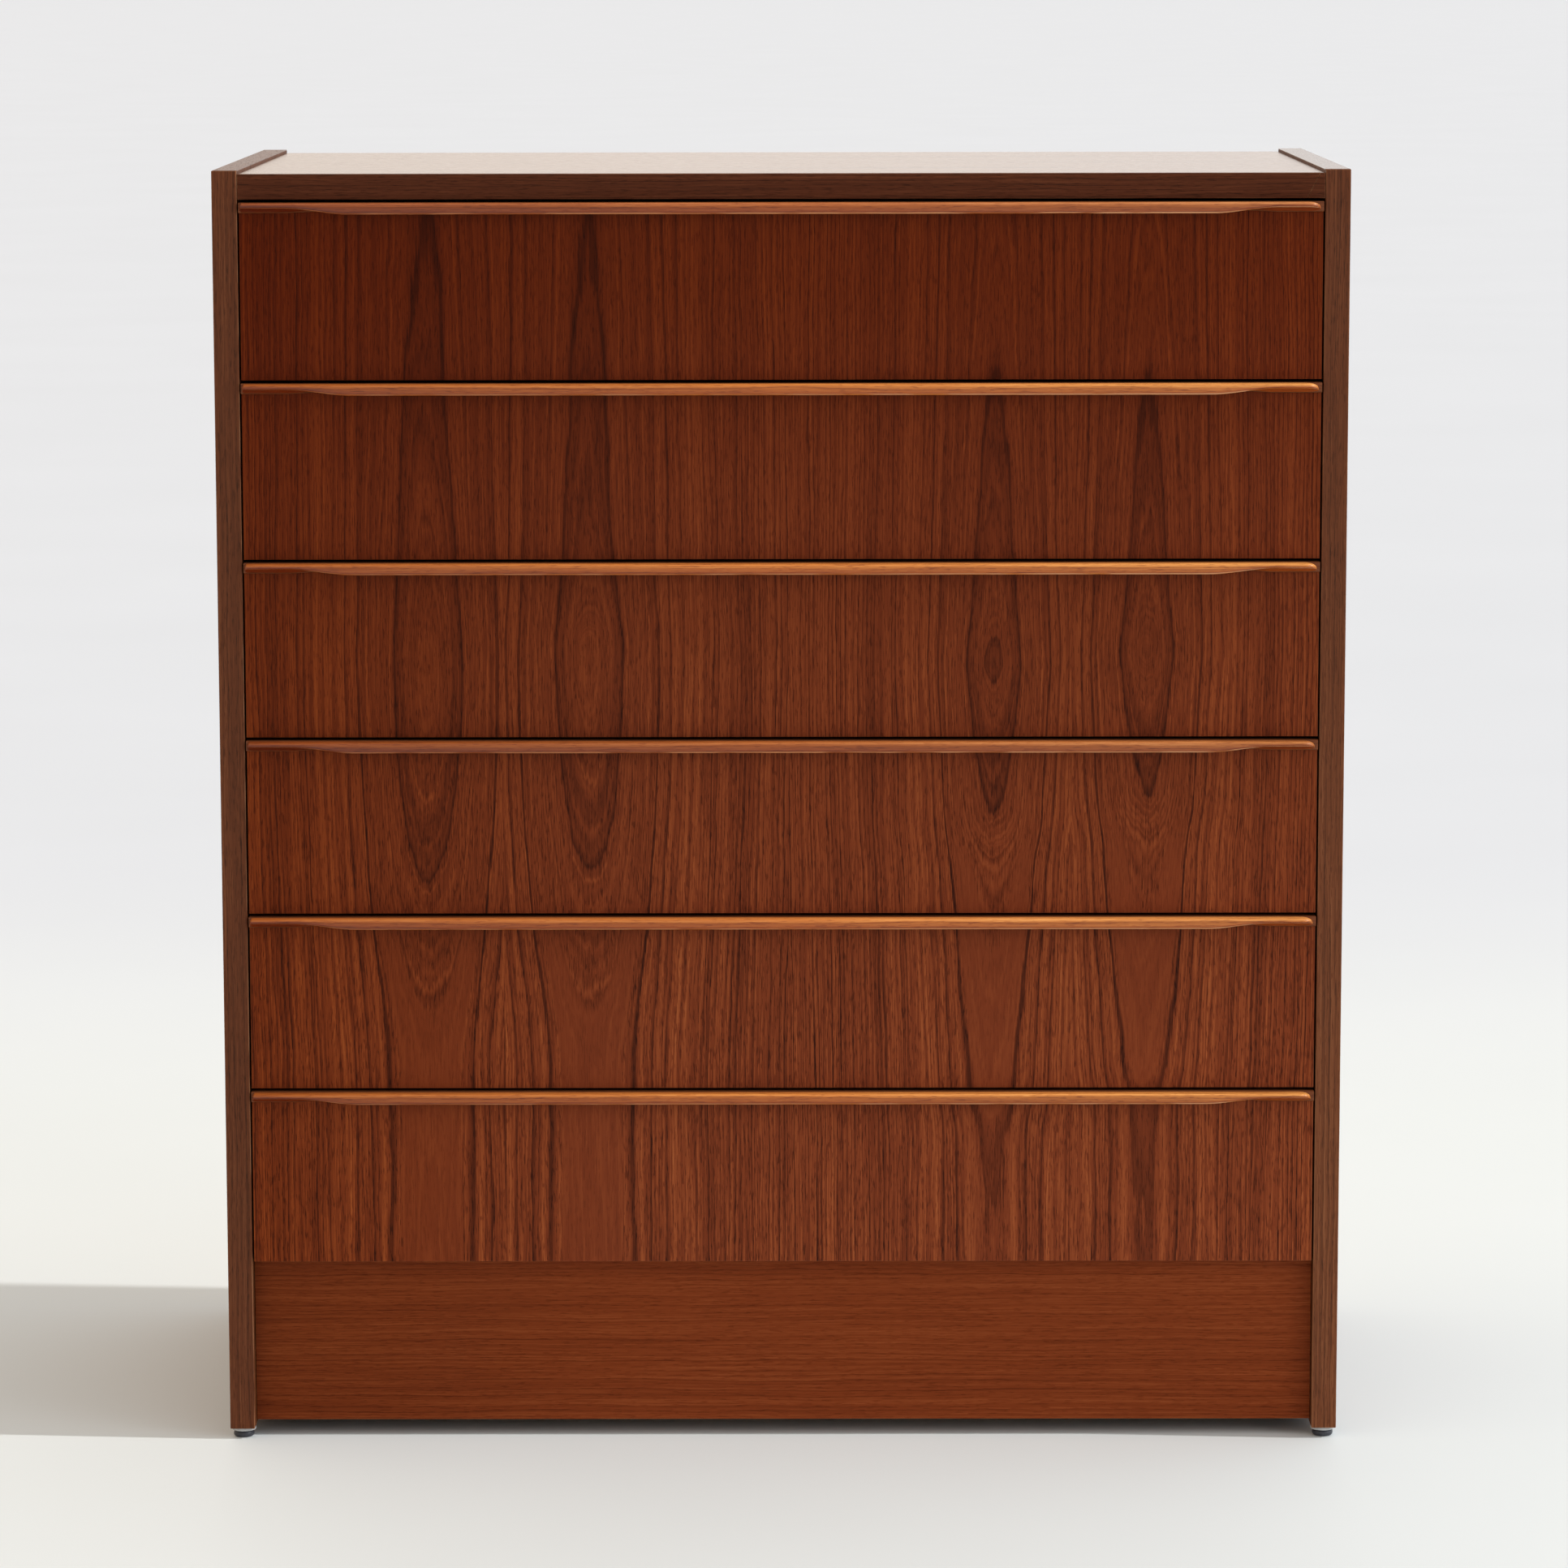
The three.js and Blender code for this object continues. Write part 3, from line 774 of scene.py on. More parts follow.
def pull_teak(n):
    light, red = PULL_TINTS[n - 1]
    green = light * (1.0 - REDDENING * red)
    return teak(
        f"teak_pull_{n}",
        "zyx",
        [(place, (r * light, g * green, b * light)) for place, (r, g, b) in PULL_STOPS],
        offset=n * PULL_OFFSET,
        seed=FIRST_PULL_SEED + n,
        contrast=1.1,
        roughness=0.32,
        shine=0.4,
        bare=PULL_WEAR_AND_SHEEN,
        tint=painted_light_and_shade_on_pulls,
    )


# ------------------------ other materials

PALE_STOPS = shades((0.34, 0.2, 0.095), (0.56, 0.38, 0.21), (0.7, 0.52, 0.32))
PALE_OFFSET = 300.0  # how far along the log one board is cut from the next, in millimetres
PALE_BUMP = 0.15 * MM

PEEL_WANDER = 260.0  # how far the rings of a peeled face wander, in millimetres
PEEL_SLANT = 0.35  # how steeply the knife cuts through the rings, from 0 to 1
PEEL_RINGS = 0.045  # rings a millimetre
LAYER_DARK = (0.3, 0.17, 0.08)
LAYER_LIGHT = (0.58, 0.42, 0.25)

MOTTLE = 900.0  # cells a metre
DUST = 260.0
PATCH = 700.0


def pale_wood(name, axes, board):
    """Beech or birch, for the parts that don't show. Each board has a number."""
    surface = Surface(name)
    grain = board_grain(surface, axes, board * PALE_OFFSET)
    bands = grain.noise(30.0, 500.0, 2.0)
    stripes = grain.noise(2.5, 150.0, 2.0)
    flecks = grain.noise(0.7, 5.0).ramp(0.6, 0.75)
    value = centred(bands) * 0.8 + centred(stripes) * 0.7 - flecks * 0.12 + 0.5
    surface.color(color_ramp(value, PALE_STOPS))
    surface.roughness(centred(stripes) * 0.2 + 0.6)
    surface.bump(stripes - flecks * 0.5, PALE_BUMP)
    return surface.material


def plywood(name, axes, thin_axis, layer_thickness):
    """Pale rotary-cut faces, and edges that show the layers."""
    surface = Surface(name)
    grain = board_grain(surface, axes)
    wander = centred(grain.noise(90.0, 420.0, 3.0)) * PEEL_WANDER
    wander = wander + centred(grain.noise(9.0, 60.0)) * 5.0
    rings = ((grain.across * PEEL_SLANT + wander) * PEEL_RINGS).part()
    figure = rings.ramp(0.0, 0.8) * rings.ramp(1.0, 0.85)
    stripes = grain.noise(1.4, 90.0, 2.0)
    flecks = grain.noise(0.7, 6.0).ramp(0.58, 0.7)
    value = centred(stripes) * 0.7 - figure * 0.22 - flecks * 0.14 + 0.64
    face = color_ramp(value, PALE_STOPS)
    layers = (getattr(surface, thin_axis) * (0.5 / layer_thickness)).part()
    edge = blend_colors(layers.above(0.5), LAYER_DARK, LAYER_LIGHT)
    normal = dict(zip("xyz", surface.normals()))[thin_axis]
    surface.color(blend_colors(abs(normal).ramp(0.7, 0.3), face, edge))
    surface.roughness(centred(stripes) * 0.2 + 0.65)
    surface.bump(stripes, PALE_BUMP)
    return surface.material


def moulded(name, dark, light, roughness):
    """Plastic or rubber with a faint mottle and dust."""
    surface = Surface(name)
    mottle = noise(surface.place, (MOTTLE,) * 3, 3.0)
    dust = noise(surface.place, (DUST,) * 3, 4.0, 0.7).ramp(0.55, 0.75)
    surface.color(blend_colors(mottle * 0.6 + dust * 0.4, dark, light))
    surface.roughness(dust * 0.25 + roughness)
    surface.bump(mottle, 0.05 * MM)
    return surface.material


def steel(name):
    """Bright zinc on screws and nails, dulled in patches."""
    surface = Surface(name)
    patches = noise(surface.place, (PATCH,) * 3, 3.0)
    surface.color(color_ramp(patches, ((0.2, (0.35, 0.33, 0.3)), (0.8, (0.62, 0.6, 0.56)))))
    surface.constant(Metallic=1.0)
    surface.roughness(patches * 0.3 + 0.2)
    surface.bump(patches, 0.03 * MM, 0.5)
    return surface.material


DRAWER_WOOD = pale_wood("drawer_wood", "zxy", 1)
DRAWER_BACK_WOOD = pale_wood("drawer_back_wood", "zyx", 2)
PANEL_WOOD = pale_wood("panel_wood", "yzx", 3)
RUNNER_WOOD = pale_wood("runner_wood", "zxy", 4)
DRAWER_PLY = plywood("drawer_plywood", "yzx", "z", DRAWER_LAYER)
BACK_PLY = plywood("back_plywood", "xyz", "y", BACK_LAYER)
GLIDE_BASE = moulded("glide_base_plastic", (0.42, 0.43, 0.44), (0.55, 0.55, 0.53), 0.4)
GLIDE_RUBBER = moulded("glide_rubber", (0.012, 0.014, 0.022), (0.06, 0.062, 0.075), 0.35)
STEEL = steel("zinc_steel")

# ------------------------ bench work

SHARP = math.radians(30)  # edges sharper than this are softened
ROUND_SHARP = math.radians(35)  # and on round pieces, sharper ones than this stay crisp
WELD = 0.01 * MM  # corners closer than this are one
FLAT = math.radians(1)  # faces within this angle are one
ARRIS_WEAR = 0.3  # of a softened edge
FULL_WEAR_AND_LIGHT = 1.0


def node_shape(node):
    """A CAD node's mesh, welded and with its flat faces whole."""
    shape = bmesh.new()
    shape.from_mesh(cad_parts[node].data)
    bmesh.ops.remove_doubles(shape, verts=shape.verts, dist=WELD)
    bmesh.ops.dissolve_limit(shape, angle_limit=FLAT, verts=shape.verts, edges=shape.edges)
    return shape


def block(low, high):
    """A rectangular block between two corners."""
    shape = bmesh.new()
    bmesh.ops.create_cube(shape, size=1.0)
    for vert in shape.verts:
        vert.co = Vector(low[i] if vert.co[i] < 0 else high[i] for i in range(3))
    return shape


def keep_side(shape, point, normal):
    """Saws a closed shape along a plane and keeps what is behind the plane's normal."""
    parts = list(shape.verts) + list(shape.edges) + list(shape.faces)
    bmesh.ops.bisect_plane(shape, geom=parts, plane_co=point, plane_no=normal, clear_outer=True)
    rim = [edge for edge in shape.edges if edge.is_boundary]
    bmesh.ops.holes_fill(shape, edges=rim)
    return shape


def soften(shape, width=ARRIS, segments=2):
    """Rounds the sharp edges, and marks how worn the rounded faces are."""
    worn = shape.faces.layers.float.new("arris")
    edges = [edge for edge in shape.edges if edge.is_manifold and edge.calc_face_angle() > SHARP]
    made = bmesh.ops.bevel(
        shape,
        geom=edges,
        offset=width,
        segments=segments,
        profile=0.5,
        affect="EDGES",
        clamp_overlap=True,
    )
    for face in made["faces"]:
        face[worn] = ARRIS_WEAR
    return shape


def make_piece(name, shape, body, material, nodes=()):
    """Turns a shape into an object of the chest that stands for CAD nodes."""
    mesh = bpy.data.meshes.new(name)
    bmesh.ops.recalc_face_normals(shape, faces=shape.faces)
    shape.to_mesh(mesh)
    shape.free()
    mesh.materials.append(material)
    piece = bpy.data.objects.new(name, mesh)
    bpy.context.scene.collection.objects.link(piece)
    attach(piece, body)
    if nodes:
        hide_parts(*nodes)
    return piece


def smooth_shade(piece, angle=ROUND_SHARP):
    """Shades round faces as round, and keeps the edges that are sharper than an angle."""
    piece.data.polygons.foreach_set("use_smooth", [True] * len(piece.data.polygons))
    piece.data.set_sharp_from_angle(angle=angle)


def softened(node, body, material, width=ARRIS):
    """A CAD node again, with its arrises softened."""
    shape = soften(node_shape(node), width)
    return make_piece(f"{node}_board", shape, body, material, (node,))


def join(shape, other):
    """Adds another shape to a shape."""
    mesh = bpy.data.meshes.new("joined")
    other.to_mesh(mesh)
    other.free()
    shape.from_mesh(mesh)
    bpy.data.meshes.remove(mesh)


# ------------------------ carcase


def wear_and_light_corner(shape, x, y):
    """Paints the upright corner of a strip as bare wood: wear, and a painted highlight where it
    catches the light from the right.
    """
    worn = shape.faces.layers.float["arris"]
    for face in shape.faces:
        middle = face.calc_center_median()
        if abs(middle.x - x) < ARRIS and abs(middle.y - y) < ARRIS:
            face[worn] = FULL_WEAR_AND_LIGHT


def side_panel(hand):
    """A veneered panel with a solid strip along its front and veneer on its top edge."""
    node = f"side_panel_{hand}"
    low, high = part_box(node)
    front_y = low.y + EDGING
    lip_z = high.z - LIPPING
    panel = keep_side(node_shape(node), (0, front_y + JOINT, 0), (0, -1, 0))
    panel = keep_side(panel, (0, 0, lip_z - JOINT), (0, 0, 1))
    strip = block(low, (high.x, front_y, high.z))
    lipping = block((low.x, front_y + JOINT, lip_z), high)
    make_piece(f"{node}_veneered", soften(panel), "carcase", TEAK_SIDE, (node,))
    strip = soften(strip, EDGE_STRIP_ARRIS, 3)
    # painted highlight and wear on the left strip's inner corner, which faces the light on the right
    if hand == "left":
        wear_and_light_corner(strip, high.x, low.y)
    make_piece(f"{node}_front_strip", strip, "carcase", TEAK_EDGING_UP, (node,))
    lipping = soften(lipping)
    make_piece(f"{node}_lipping", lipping, "carcase", TEAK_LIPPINGS[hand], (node,))


def top_strip():
    """The solid strip in front of the top, lengthened by a scarf joint near its right end."""
    low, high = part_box("top_edge_strip")
    normal = Vector((high.z - low.z, 0, -SCARF_SLANT))
    middle = Vector((high.x - SCARF_FROM_END, 0, (low.z + high.z) / 2))
    for name, side in (("long", 1), ("short", -1)):
        half_joint = Vector((side * JOINT / 2, 0, 0))
        shape = keep_side(block(low, high), middle - half_joint, normal * side)
        make_piece(
            f"top_edge_strip_{name}",
            soften(shape, TOP_STRIP_ARRIS),
            "carcase",
            TEAK_EDGING_TOP,
            ("top_edge_strip",),
        )


for hand, _ in HANDS:
    side_panel(hand)
top_strip()
softened("top_panel", "carcase", TEAK_TOP, PANEL_ARRIS)
softened("plinth_board", "carcase", TEAK_PLINTH)
softened("bottom_panel", "carcase", PANEL_WOOD)
softened("rear_rail", "carcase", DRAWER_BACK_WOOD)
softened("back_panel", "carcase", BACK_PLY, PANEL_ARRIS)

# ------------------------ fastenings and glides

ROUND = 24  # sides of a small round thing
CORNER_STEPS = 4  # sides of a rounded corner
CORNER_ANGLES = [math.pi / 2 * i / CORNER_STEPS for i in range(CORNER_STEPS + 1)]
SCREW_STEPS = 12  # sides of half a screw head

# Turns a shape that stands on the floor so that its top points along an axis.
UP = Matrix.Identity(4)
BACKWARDS = Matrix.Rotation(math.radians(-90), 4, "X")


def turned(profile, centre, turn=UP):
    """A lathe shape about an axis through a point. The profile is (radius, height) pairs
    from the axis out and back to it."""
    shape = bmesh.new()
    rings = []
    for radius, height in profile:
        angles = [2 * math.pi * i / ROUND for i in range(ROUND if radius else 1)]
        places = [(radius * math.cos(a), radius * math.sin(a), height) for a in angles]
        rings.append([shape.verts.new(place) for place in places])
    for lower, upper in zip(rings, rings[1:]):
        for i in range(ROUND):
            k = (i + 1) % ROUND
            around = ((lower, i), (lower, k), (upper, k), (upper, i))
            corners = [ring[place % len(ring)] for ring, place in around]
            shape.faces.new(list(dict.fromkeys(corners)))
    bmesh.ops.transform(shape, matrix=Matrix.Translation(centre) @ turn, verts=shape.verts)
    return shape


def rounded_profile(radius, low, high, corner):
    """A disc's profile between two heights, with its rims rounded."""
    inner = radius - corner
    points = [(0, low)]
    for angle in CORNER_ANGLES:
        points.append((inner + corner * math.sin(angle), low + corner - corner * math.cos(angle)))
    for angle in CORNER_ANGLES:
        points.append((inner + corner * math.cos(angle), high - corner + corner * math.sin(angle)))
    points.append((0, high))
    return points


def glide(end, hand):
    """A nail-on glide: a pale plastic disc against the panel, and a dark rubber foot."""
    node = f"glide_{end}_{hand}"
    low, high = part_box(node)
    centre = Vector(((low.x + high.x) / 2, (low.y + high.y) / 2, 0))
    radius = (high.x - low.x) / 2
    split = high.z - GLIDE_BASE_HEIGHT
    base = turned(rounded_profile(radius, split, high.z, GLIDE_BASE_CORNER), centre)
    foot = turned(rounded_profile(GLIDE_FOOT_RADIUS, low.z, split, GLIDE_FOOT_CORNER), centre)
    for name, shape, material in (("base", base, GLIDE_BASE), ("foot", foot, GLIDE_RUBBER)):
        piece = make_piece(f"{node}_{name}", shape, "carcase", material, (node,))
        smooth_shade(piece)


def spread(low, high, spacing):
    """Evenly spread places from low to high, about a spacing apart."""
    count = max(1, round((high - low) / spacing))
    return [low + (high - low) * i / count for i in range(count + 1)]


def nail_head(centre):
    """A low round head that stands proud of a face at the back, and is let into it."""
    profile = [(0, -NAIL_PROUD)]
    for angle in CORNER_ANGLES[:-1]:
        profile.append((NAIL_HEAD * math.cos(angle), NAIL_PROUD * math.sin(angle)))
    profile.append((0, NAIL_PROUD))
    return turned(profile, centre, BACKWARDS)


def back_nails():
    """Nails round the rim of the back panel."""
    low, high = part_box("back_panel")
    across = spread(low.x + NAIL_FROM_EDGE, high.x - NAIL_FROM_EDGE, NAIL_SPACING)
    upward = spread(low.z + NAIL_FROM_EDGE * 2, high.z - NAIL_FROM_EDGE, NAIL_SPACING)
    bottom_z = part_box("bottom_panel")[1].z - BOARD_MIDDLE
    places = [(x, high.z - NAIL_FROM_EDGE) for x in across]
    places += [(x, bottom_z) for x in across[1:-1]]
    places += [(x, z) for x in (across[0], across[-1]) for z in upward[:-1]]
    shape = bmesh.new()
    for x, z in places:
        wobble = Vector((random.uniform(-1, 1), 0, random.uniform(-1, 1))) * NAIL_WOBBLE
        join(shape, nail_head(Vector((x, high.y, z)) + wobble))
    smooth_shade(make_piece("back_panel_nails", shape, "carcase", STEEL))


def screw_head(centre, side):
    """A slotted countersunk head in a face that looks towards the middle of the chest."""
    start = math.asin(SCREW_SLOT / 2 / SCREW_HEAD)
    arc = [start + (math.pi - 2 * start) * i / SCREW_STEPS for i in range(SCREW_STEPS + 1)]
    shape = bmesh.new()
    for lift in (-1, 1):
        rim = [(SCREW_HEAD * math.cos(a), lift * SCREW_HEAD * math.sin(a)) for a in arc]
        top = [shape.verts.new((0.0, y, z)) for y, z in rim]
        deep = [shape.verts.new((side * SCREW_DEPTH, y, z)) for y, z in rim]
        shape.faces.new(top)
        shape.faces.new(deep[::-1])
        for i in range(len(rim)):
            k = (i + 1) % len(rim)
            shape.faces.new((top[i], deep[i], deep[k], top[k]))
    bmesh.ops.transform(shape, matrix=Matrix.Translation(centre), verts=shape.verts)
    return shape


def runner(n, hand, side):
    """A hardwood runner with three countersunk screws."""
    node = f"runner_{n}_{hand}"
    low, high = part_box(node)
    softened(node, "carcase", RUNNER_WOOD, RUNNER_ARRIS)
    face_x = low.x if side > 0 else high.x
    shape = bmesh.new()
    for y in spread(low.y + SCREW_FROM_END, high.y - SCREW_FROM_END, SCREW_SPACING):
        centre = Vector((face_x - side * SCREW_PROUD, y, (low.z + high.z) / 2))
        join(shape, screw_head(centre, side))
    make_piece(f"{node}_screws", shape, "carcase", STEEL)


for end in ("front", "rear"):
    for hand, _ in HANDS:
        glide(end, hand)
back_nails()
for n in DRAWERS:
    for hand, side in HANDS:
        runner(n, hand, side)

# ------------------------ drawer pulls

NOSE_STEPS = 16
UNDER_STEPS = 10
END_STEPS = 12
BETWEEN = (18.0, 26.0)  # sections between the rounded end and the taper
TAPER_STEPS = 16
# the nose's lower front edge is painted pale: wear, and a painted highlight of the light that it
# catches from the floor
LOWER_WEAR_AND_SHEEN = (13, 14, 15)  # sides of the nose section along its lower front edge
WEAR_AND_SHEEN_ARRIS = 1.8  # how worn that edge is, and how strongly its painted highlight shows
LEAST_TURN = 0.002  # keeps the nose's end from closing to a line
NOSE_SHARP = math.radians(40)
STRIP_SHARP = math.radians(30)


def lerp(start, end, share):
    return start + (end - start) * share


def smooth_step(value, start, end):
    share = min(max((value - start) / (end - start), 0.0), 1.0)
    return share * share * (3 - 2 * share)


def depth_share(from_end):
    """0 at the drawer's ends, where the nose is shallow, and 1 in the middle."""
    return smooth_step(from_end, TAPER_START, TAPER_END)


def nose_drop(from_end):
    return lerp(NOSE_DROP_END, NOSE_DROP_MIDDLE, depth_share(from_end))


def underside(t, deep, drop):
    """Height of the pull's underside at a share t of the way from the nose to the drawer's
    face: hollowed where it is deep, and slanting down to the lip of the strip elsewhere."""
    hollow = lerp(-drop, -STRIP, t) + COVE * math.sin(math.pi * t)
    slant = max(lerp(-drop, -LIP, min(t * LIP_REACH, 1.0)), -LIP)
    return lerp(slant, hollow, deep)


def strip_share(strip_y, inner_y, face_y):
    """The share of the underside that is the nose's, in front of the strip."""
    return (strip_y - inner_y) / (face_y - inner_y)


def nose_section(from_end, end, nose_y, face_y):
    """The pull's nose as (y, z) in millimetres, in front of the strip and with z = 0 at its
    top. It deepens away from the ends, where a finger cove is hollowed out behind it, and it
    is rounded off at its end, both from above and from in front."""
    start, radius = end
    turned_in = min(max((from_end - start) / radius, LEAST_TURN), 1.0)
    grown = math.sqrt(1 - (1 - turned_in) ** 2)
    strip_y = face_y - STRIP_PROUD
    tip_y = lerp(strip_y, nose_y, grown)
    reach = NOSE_ROUND * grown
    drop = nose_drop(from_end) + END_SAG * (1 - grown)
    top_drop = END_SLOPE * drop * (1 - grown)
    points = [(strip_y, -top_drop)]
    for i in range(NOSE_STEPS + 1):
        angle = math.pi * i / NOSE_STEPS
        y = tip_y + reach * (1 - math.sin(angle))
        points.append((y, -(drop + top_drop) / 2 + (drop - top_drop) / 2 * math.cos(angle)))
    inner_y = tip_y + reach
    own_share = strip_share(strip_y, inner_y, face_y)
    for i in range(1, UNDER_STEPS + 1):
        t = own_share * i / UNDER_STEPS
        points.append((lerp(inner_y, face_y, t), underside(t, depth_share(from_end), drop)))
    return points


def strip_section(from_end, nose_y, face_y, back_y):
    """The strip behind the nose, with the rest of the cove."""
    strip_y = face_y - STRIP_PROUD
    own_start = strip_share(strip_y, nose_y + NOSE_ROUND, face_y)
    points = [(back_y, -STRIP), (back_y, 0.0), (strip_y + STRIP_ARRIS, 0.0), (strip_y, -STRIP_ARRIS)]
    for i in range(UNDER_STEPS + 1):
        share = i / UNDER_STEPS
        z = underside(lerp(own_start, 1.0, share), depth_share(from_end), nose_drop(from_end))
        points.append((lerp(strip_y, face_y - PULL_GAP, share), z))
    points.append((face_y - PULL_GAP, -STRIP))
    return points


def pull_stations(begin, start, radius):
    """Distances from a drawer's end where the pull's section is drawn, from begin on."""
    quarter = math.pi / 2
    places = [
        start + radius * (1 - math.cos(quarter * i / END_STEPS)) for i in range(1, END_STEPS + 1)
    ]
    places += BETWEEN
    places += [lerp(TAPER_START, TAPER_END, i / TAPER_STEPS) for i in range(TAPER_STEPS + 1)]
    return [begin] + [place for place in places if place > begin]


def loft(low, high, section, begins, worn_and_sheen_sides=()):
    """A solid along X through sections that depend on the distance from either end. It begins so far
    from each end. Some sides of the section are painted as worn wood with a painted highlight."""
    stations = []
    for end, begin, side in zip(ENDS, begins, (1, -1)):
        corner = low.x if side > 0 else high.x
        half = [(corner + side * d * MM, d, end) for d in pull_stations(begin, *end)]
        stations += half[::side]
    shape = bmesh.new()
    worn = shape.faces.layers.float.new("arris")
    rings = []
    for x, from_end, end in stations:
        points = section(from_end, end)
        rings.append([shape.verts.new((x, y * MM, high.z + z * MM)) for y, z in points])
    for before, after in zip(rings, rings[1:]):
        for i in range(len(before)):
            k = (i + 1) % len(before)
            face = shape.faces.new((before[i], before[k], after[k], after[i]))
            if i in worn_and_sheen_sides:
                face[worn] = WEAR_AND_SHEEN_ARRIS
    shape.faces.new(rings[0][::-1])
    shape.faces.new(rings[-1])
    return shape


def pull(n):
    """The sculpted nose, and the strip that it is worked on, painted darker as painted shade under
    the nose.
    """
    body = f"drawer_{n}"
    node = f"{body}_pull"
    low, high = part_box(node)
    nose_y = low.y / MM
    face_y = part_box(f"drawer_{n}_front")[0].y / MM

    def nose_at(from_end, end):
        return nose_section(from_end, end, nose_y, face_y)

    def strip_at(from_end, _):
        return strip_section(from_end, nose_y, face_y, high.y / MM)

    nose = loft(low, high, nose_at, [start for start, _ in ENDS], LOWER_WEAR_AND_SHEEN)
    strip = loft(low, high, strip_at, (0.0, 0.0))
    nose = make_piece(f"{node}_nose", nose, body, pull_teak(n), (node,))
    strip = make_piece(f"{node}_strip", strip, body, TEAK_PULL_STRIP, (node,))
    smooth_shade(nose, NOSE_SHARP)
    smooth_shade(strip, STRIP_SHARP)


# ------------------------ drawers


def drawer(n):
    body = f"drawer_{n}"
    pull(n)
    softened(f"{body}_front", body, TEAK_FRONT, FRONT_ARRIS)
    for hand, _ in HANDS:
        softened(f"{body}_side_{hand}", body, DRAWER_WOOD, DRAWER_SIDE_ARRIS)
    softened(f"{body}_back", body, DRAWER_BACK_WOOD, DRAWER_BACK_ARRIS)
    softened(f"{body}_bottom", body, DRAWER_PLY, DRAWER_SIDE_ARRIS)


for n in DRAWERS:
    drawer(n)

# ------------------------ stage, light and camera

FLOOR_MOTTLE = 1.5  # cells a metre
FLOOR_FAR = (0.8, 2.5)  # between these distances behind the chest the floor turns to its far tone
FLOOR_NEAR_STOPS = ((0.3, (0.8, 0.845, 0.85)), (0.7, (0.82, 0.865, 0.87)))
FLOOR_FAR_STOPS = ((0.3, (0.72, 0.755, 0.805)), (0.7, (0.735, 0.77, 0.82)))
BACKDROP = (0.79, 0.8, 0.83)  # what the camera sees past the floor
LEFT_LIGHT = (0.78, 0.62, 0.47)
RIGHT_LIGHT = (0.76, 0.82, 0.88)
ROOM = (0.84, 0.88, 0.9)  # share of the light that comes from in front of the chest
BEHIND = (1.15, 1.15, 1.15)
SUN_TOWARDS = Vector((1.0, -0.08, 0.78))  # from the right, a little in front of the chest
SUN_STRENGTH = 1.9
SUN_COLOR = (1.0, 0.985, 0.965)
SUN_ANGLE = math.radians(1.0)
WINDOW_PLACE = Vector((3.2, -2.2, 1.3))
WINDOW_AIM = Vector((0.0, -0.2, 0.45))
WINDOW_WIDTH = 1.6
WINDOW_HEIGHT = 1.4
WINDOW_STRENGTH = 22.0


def placed(name, data):
    """A new object in the scene."""
    thing = bpy.data.objects.new(name, data)
    bpy.context.scene.collection.objects.link(thing)
    return thing


def floor():
    surface = Surface("floor_paint")
    mottle = noise(surface.place, (FLOOR_MOTTLE,) * 3, 3.0)
    near = color_ramp(mottle, FLOOR_NEAR_STOPS)
    far = color_ramp(mottle, FLOOR_FAR_STOPS)
    surface.color(blend_colors(surface.y.ramp(*FLOOR_FAR), near, far))
    surface.roughness(mottle * 0.1 + 0.6)
    shape = bmesh.new()
    bmesh.ops.create_grid(shape, x_segments=8, y_segments=8, size=FLOOR_HALF)
    mesh = bpy.data.meshes.new("studio_floor")
    shape.to_mesh(mesh)
    shape.free()
    mesh.materials.append(surface.material)
    ground = placed("studio_floor", mesh)


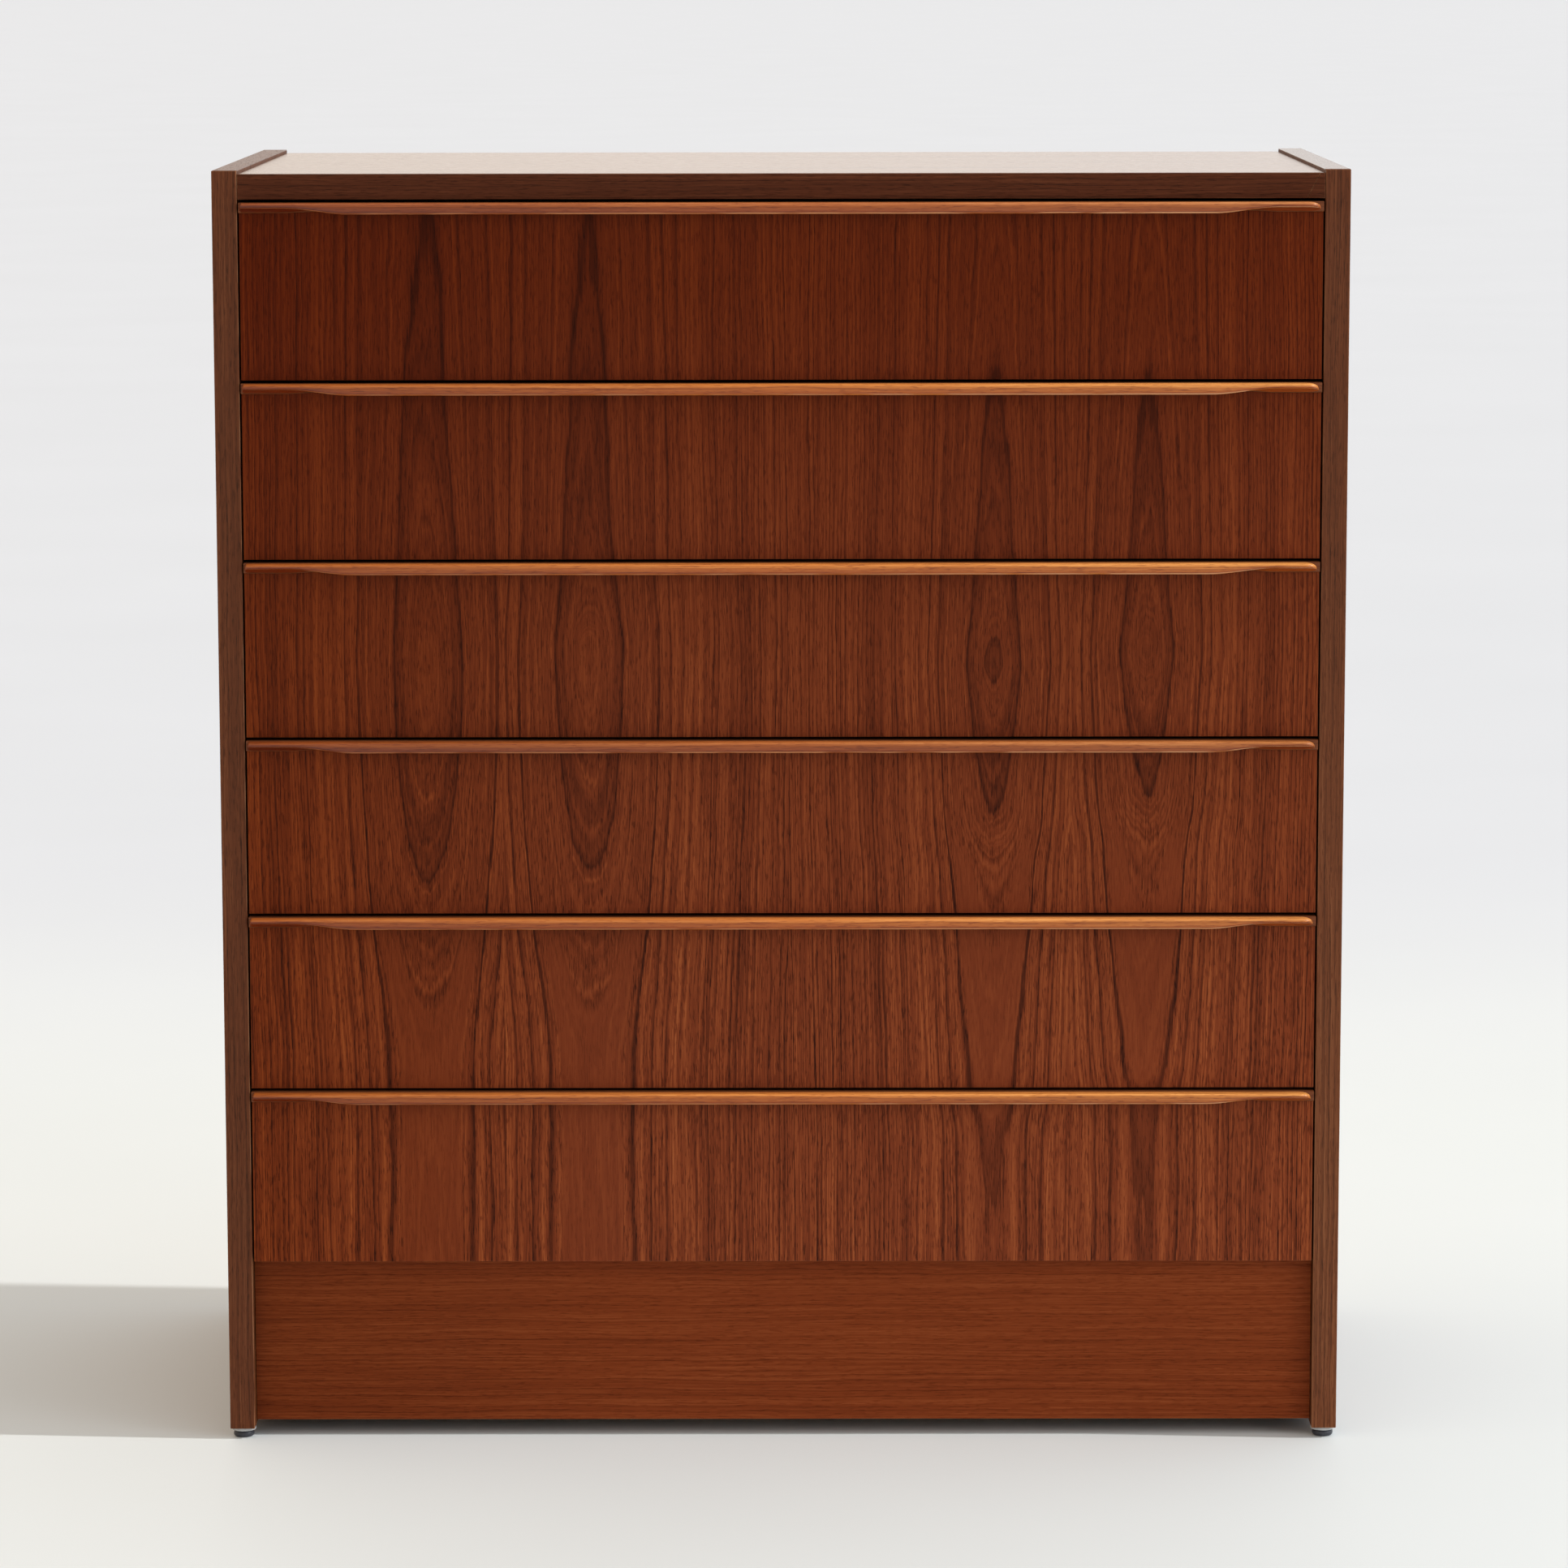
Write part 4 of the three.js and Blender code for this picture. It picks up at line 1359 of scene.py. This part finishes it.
def sky():
    """A plain soft light all round: cool from the windows on the right, warmer and dimmer
    from the left, and dim in front of the chest, where the room is. The camera sees it as
    plain and pale."""
    world = bpy.data.worlds.new("studio")
    world.use_nodes = True
    bpy.context.scene.world = world
    tree = world.node_tree
    coords = tree.nodes.new("ShaderNodeTexCoord")
    split = tree.nodes.new("ShaderNodeSeparateXYZ")
    tree.links.new(coords.outputs["Generated"], split.inputs[0])
    side = Wire(tree, split.outputs["X"])
    depth = Wire(tree, split.outputs["Y"])
    across = blend_colors(side.ramp(-0.8, 0.8), LEFT_LIGHT, RIGHT_LIGHT)
    share = color_ramp(depth * 0.5 + 0.5, ((0.05, ROOM), (0.6, WHITE), (1.0, BEHIND)))
    path = tree.nodes.new("ShaderNodeLightPath")
    to_camera = Wire(tree, path.outputs["Is Camera Ray"])
    shown = blend_colors(to_camera, tinted(tree, across, share), BACKDROP)
    tree.links.new(shown, tree.nodes["Background"].inputs["Color"])


def sun():
    lamp = bpy.data.lights.new("sun", "SUN")
    lamp.energy = SUN_STRENGTH
    lamp.angle = SUN_ANGLE
    lamp.color = SUN_COLOR
    placed("sun", lamp).rotation_euler = SUN_TOWARDS.to_track_quat("Z", "Y").to_euler()


def window():
    """A large soft light on the right, a little in front of the chest."""
    lamp = bpy.data.lights.new("window", "AREA")
    lamp.shape = "RECTANGLE"
    lamp.size = WINDOW_WIDTH
    lamp.size_y = WINDOW_HEIGHT
    lamp.energy = WINDOW_STRENGTH
    holder = placed("window", lamp)
    holder.location = WINDOW_PLACE
    holder.rotation_euler = (WINDOW_PLACE - WINDOW_AIM).to_track_quat("Z", "Y").to_euler()
    holder.visible_camera = False


def camera():
    """The photographer's view, built from its pitch, yaw and roll."""
    level = Vector((math.cos(CAMERA_YAW), -math.sin(CAMERA_YAW), 0))
    forward = Vector((math.sin(CAMERA_YAW), math.cos(CAMERA_YAW), 0))
    ahead = forward * math.cos(CAMERA_PITCH) - Vector((0, 0, math.sin(CAMERA_PITCH)))
    up = level.cross(ahead)
    right = level * math.cos(CAMERA_ROLL) + up * math.sin(CAMERA_ROLL)
    top = up * math.cos(CAMERA_ROLL) - level * math.sin(CAMERA_ROLL)
    lens = bpy.data.cameras.new("camera")
    lens.lens = CAMERA_LENS
    lens.sensor_width = CAMERA_SENSOR
    holder = placed("camera", lens)
    turn = Matrix((right, top, -ahead)).transposed().to_4x4()
    holder.matrix_world = Matrix.Translation(CAMERA_PLACE) @ turn
    bpy.context.scene.camera = holder


floor()
sky()
sun()
window()
camera()
bpy.context.scene.view_settings.view_transform = "Standard"
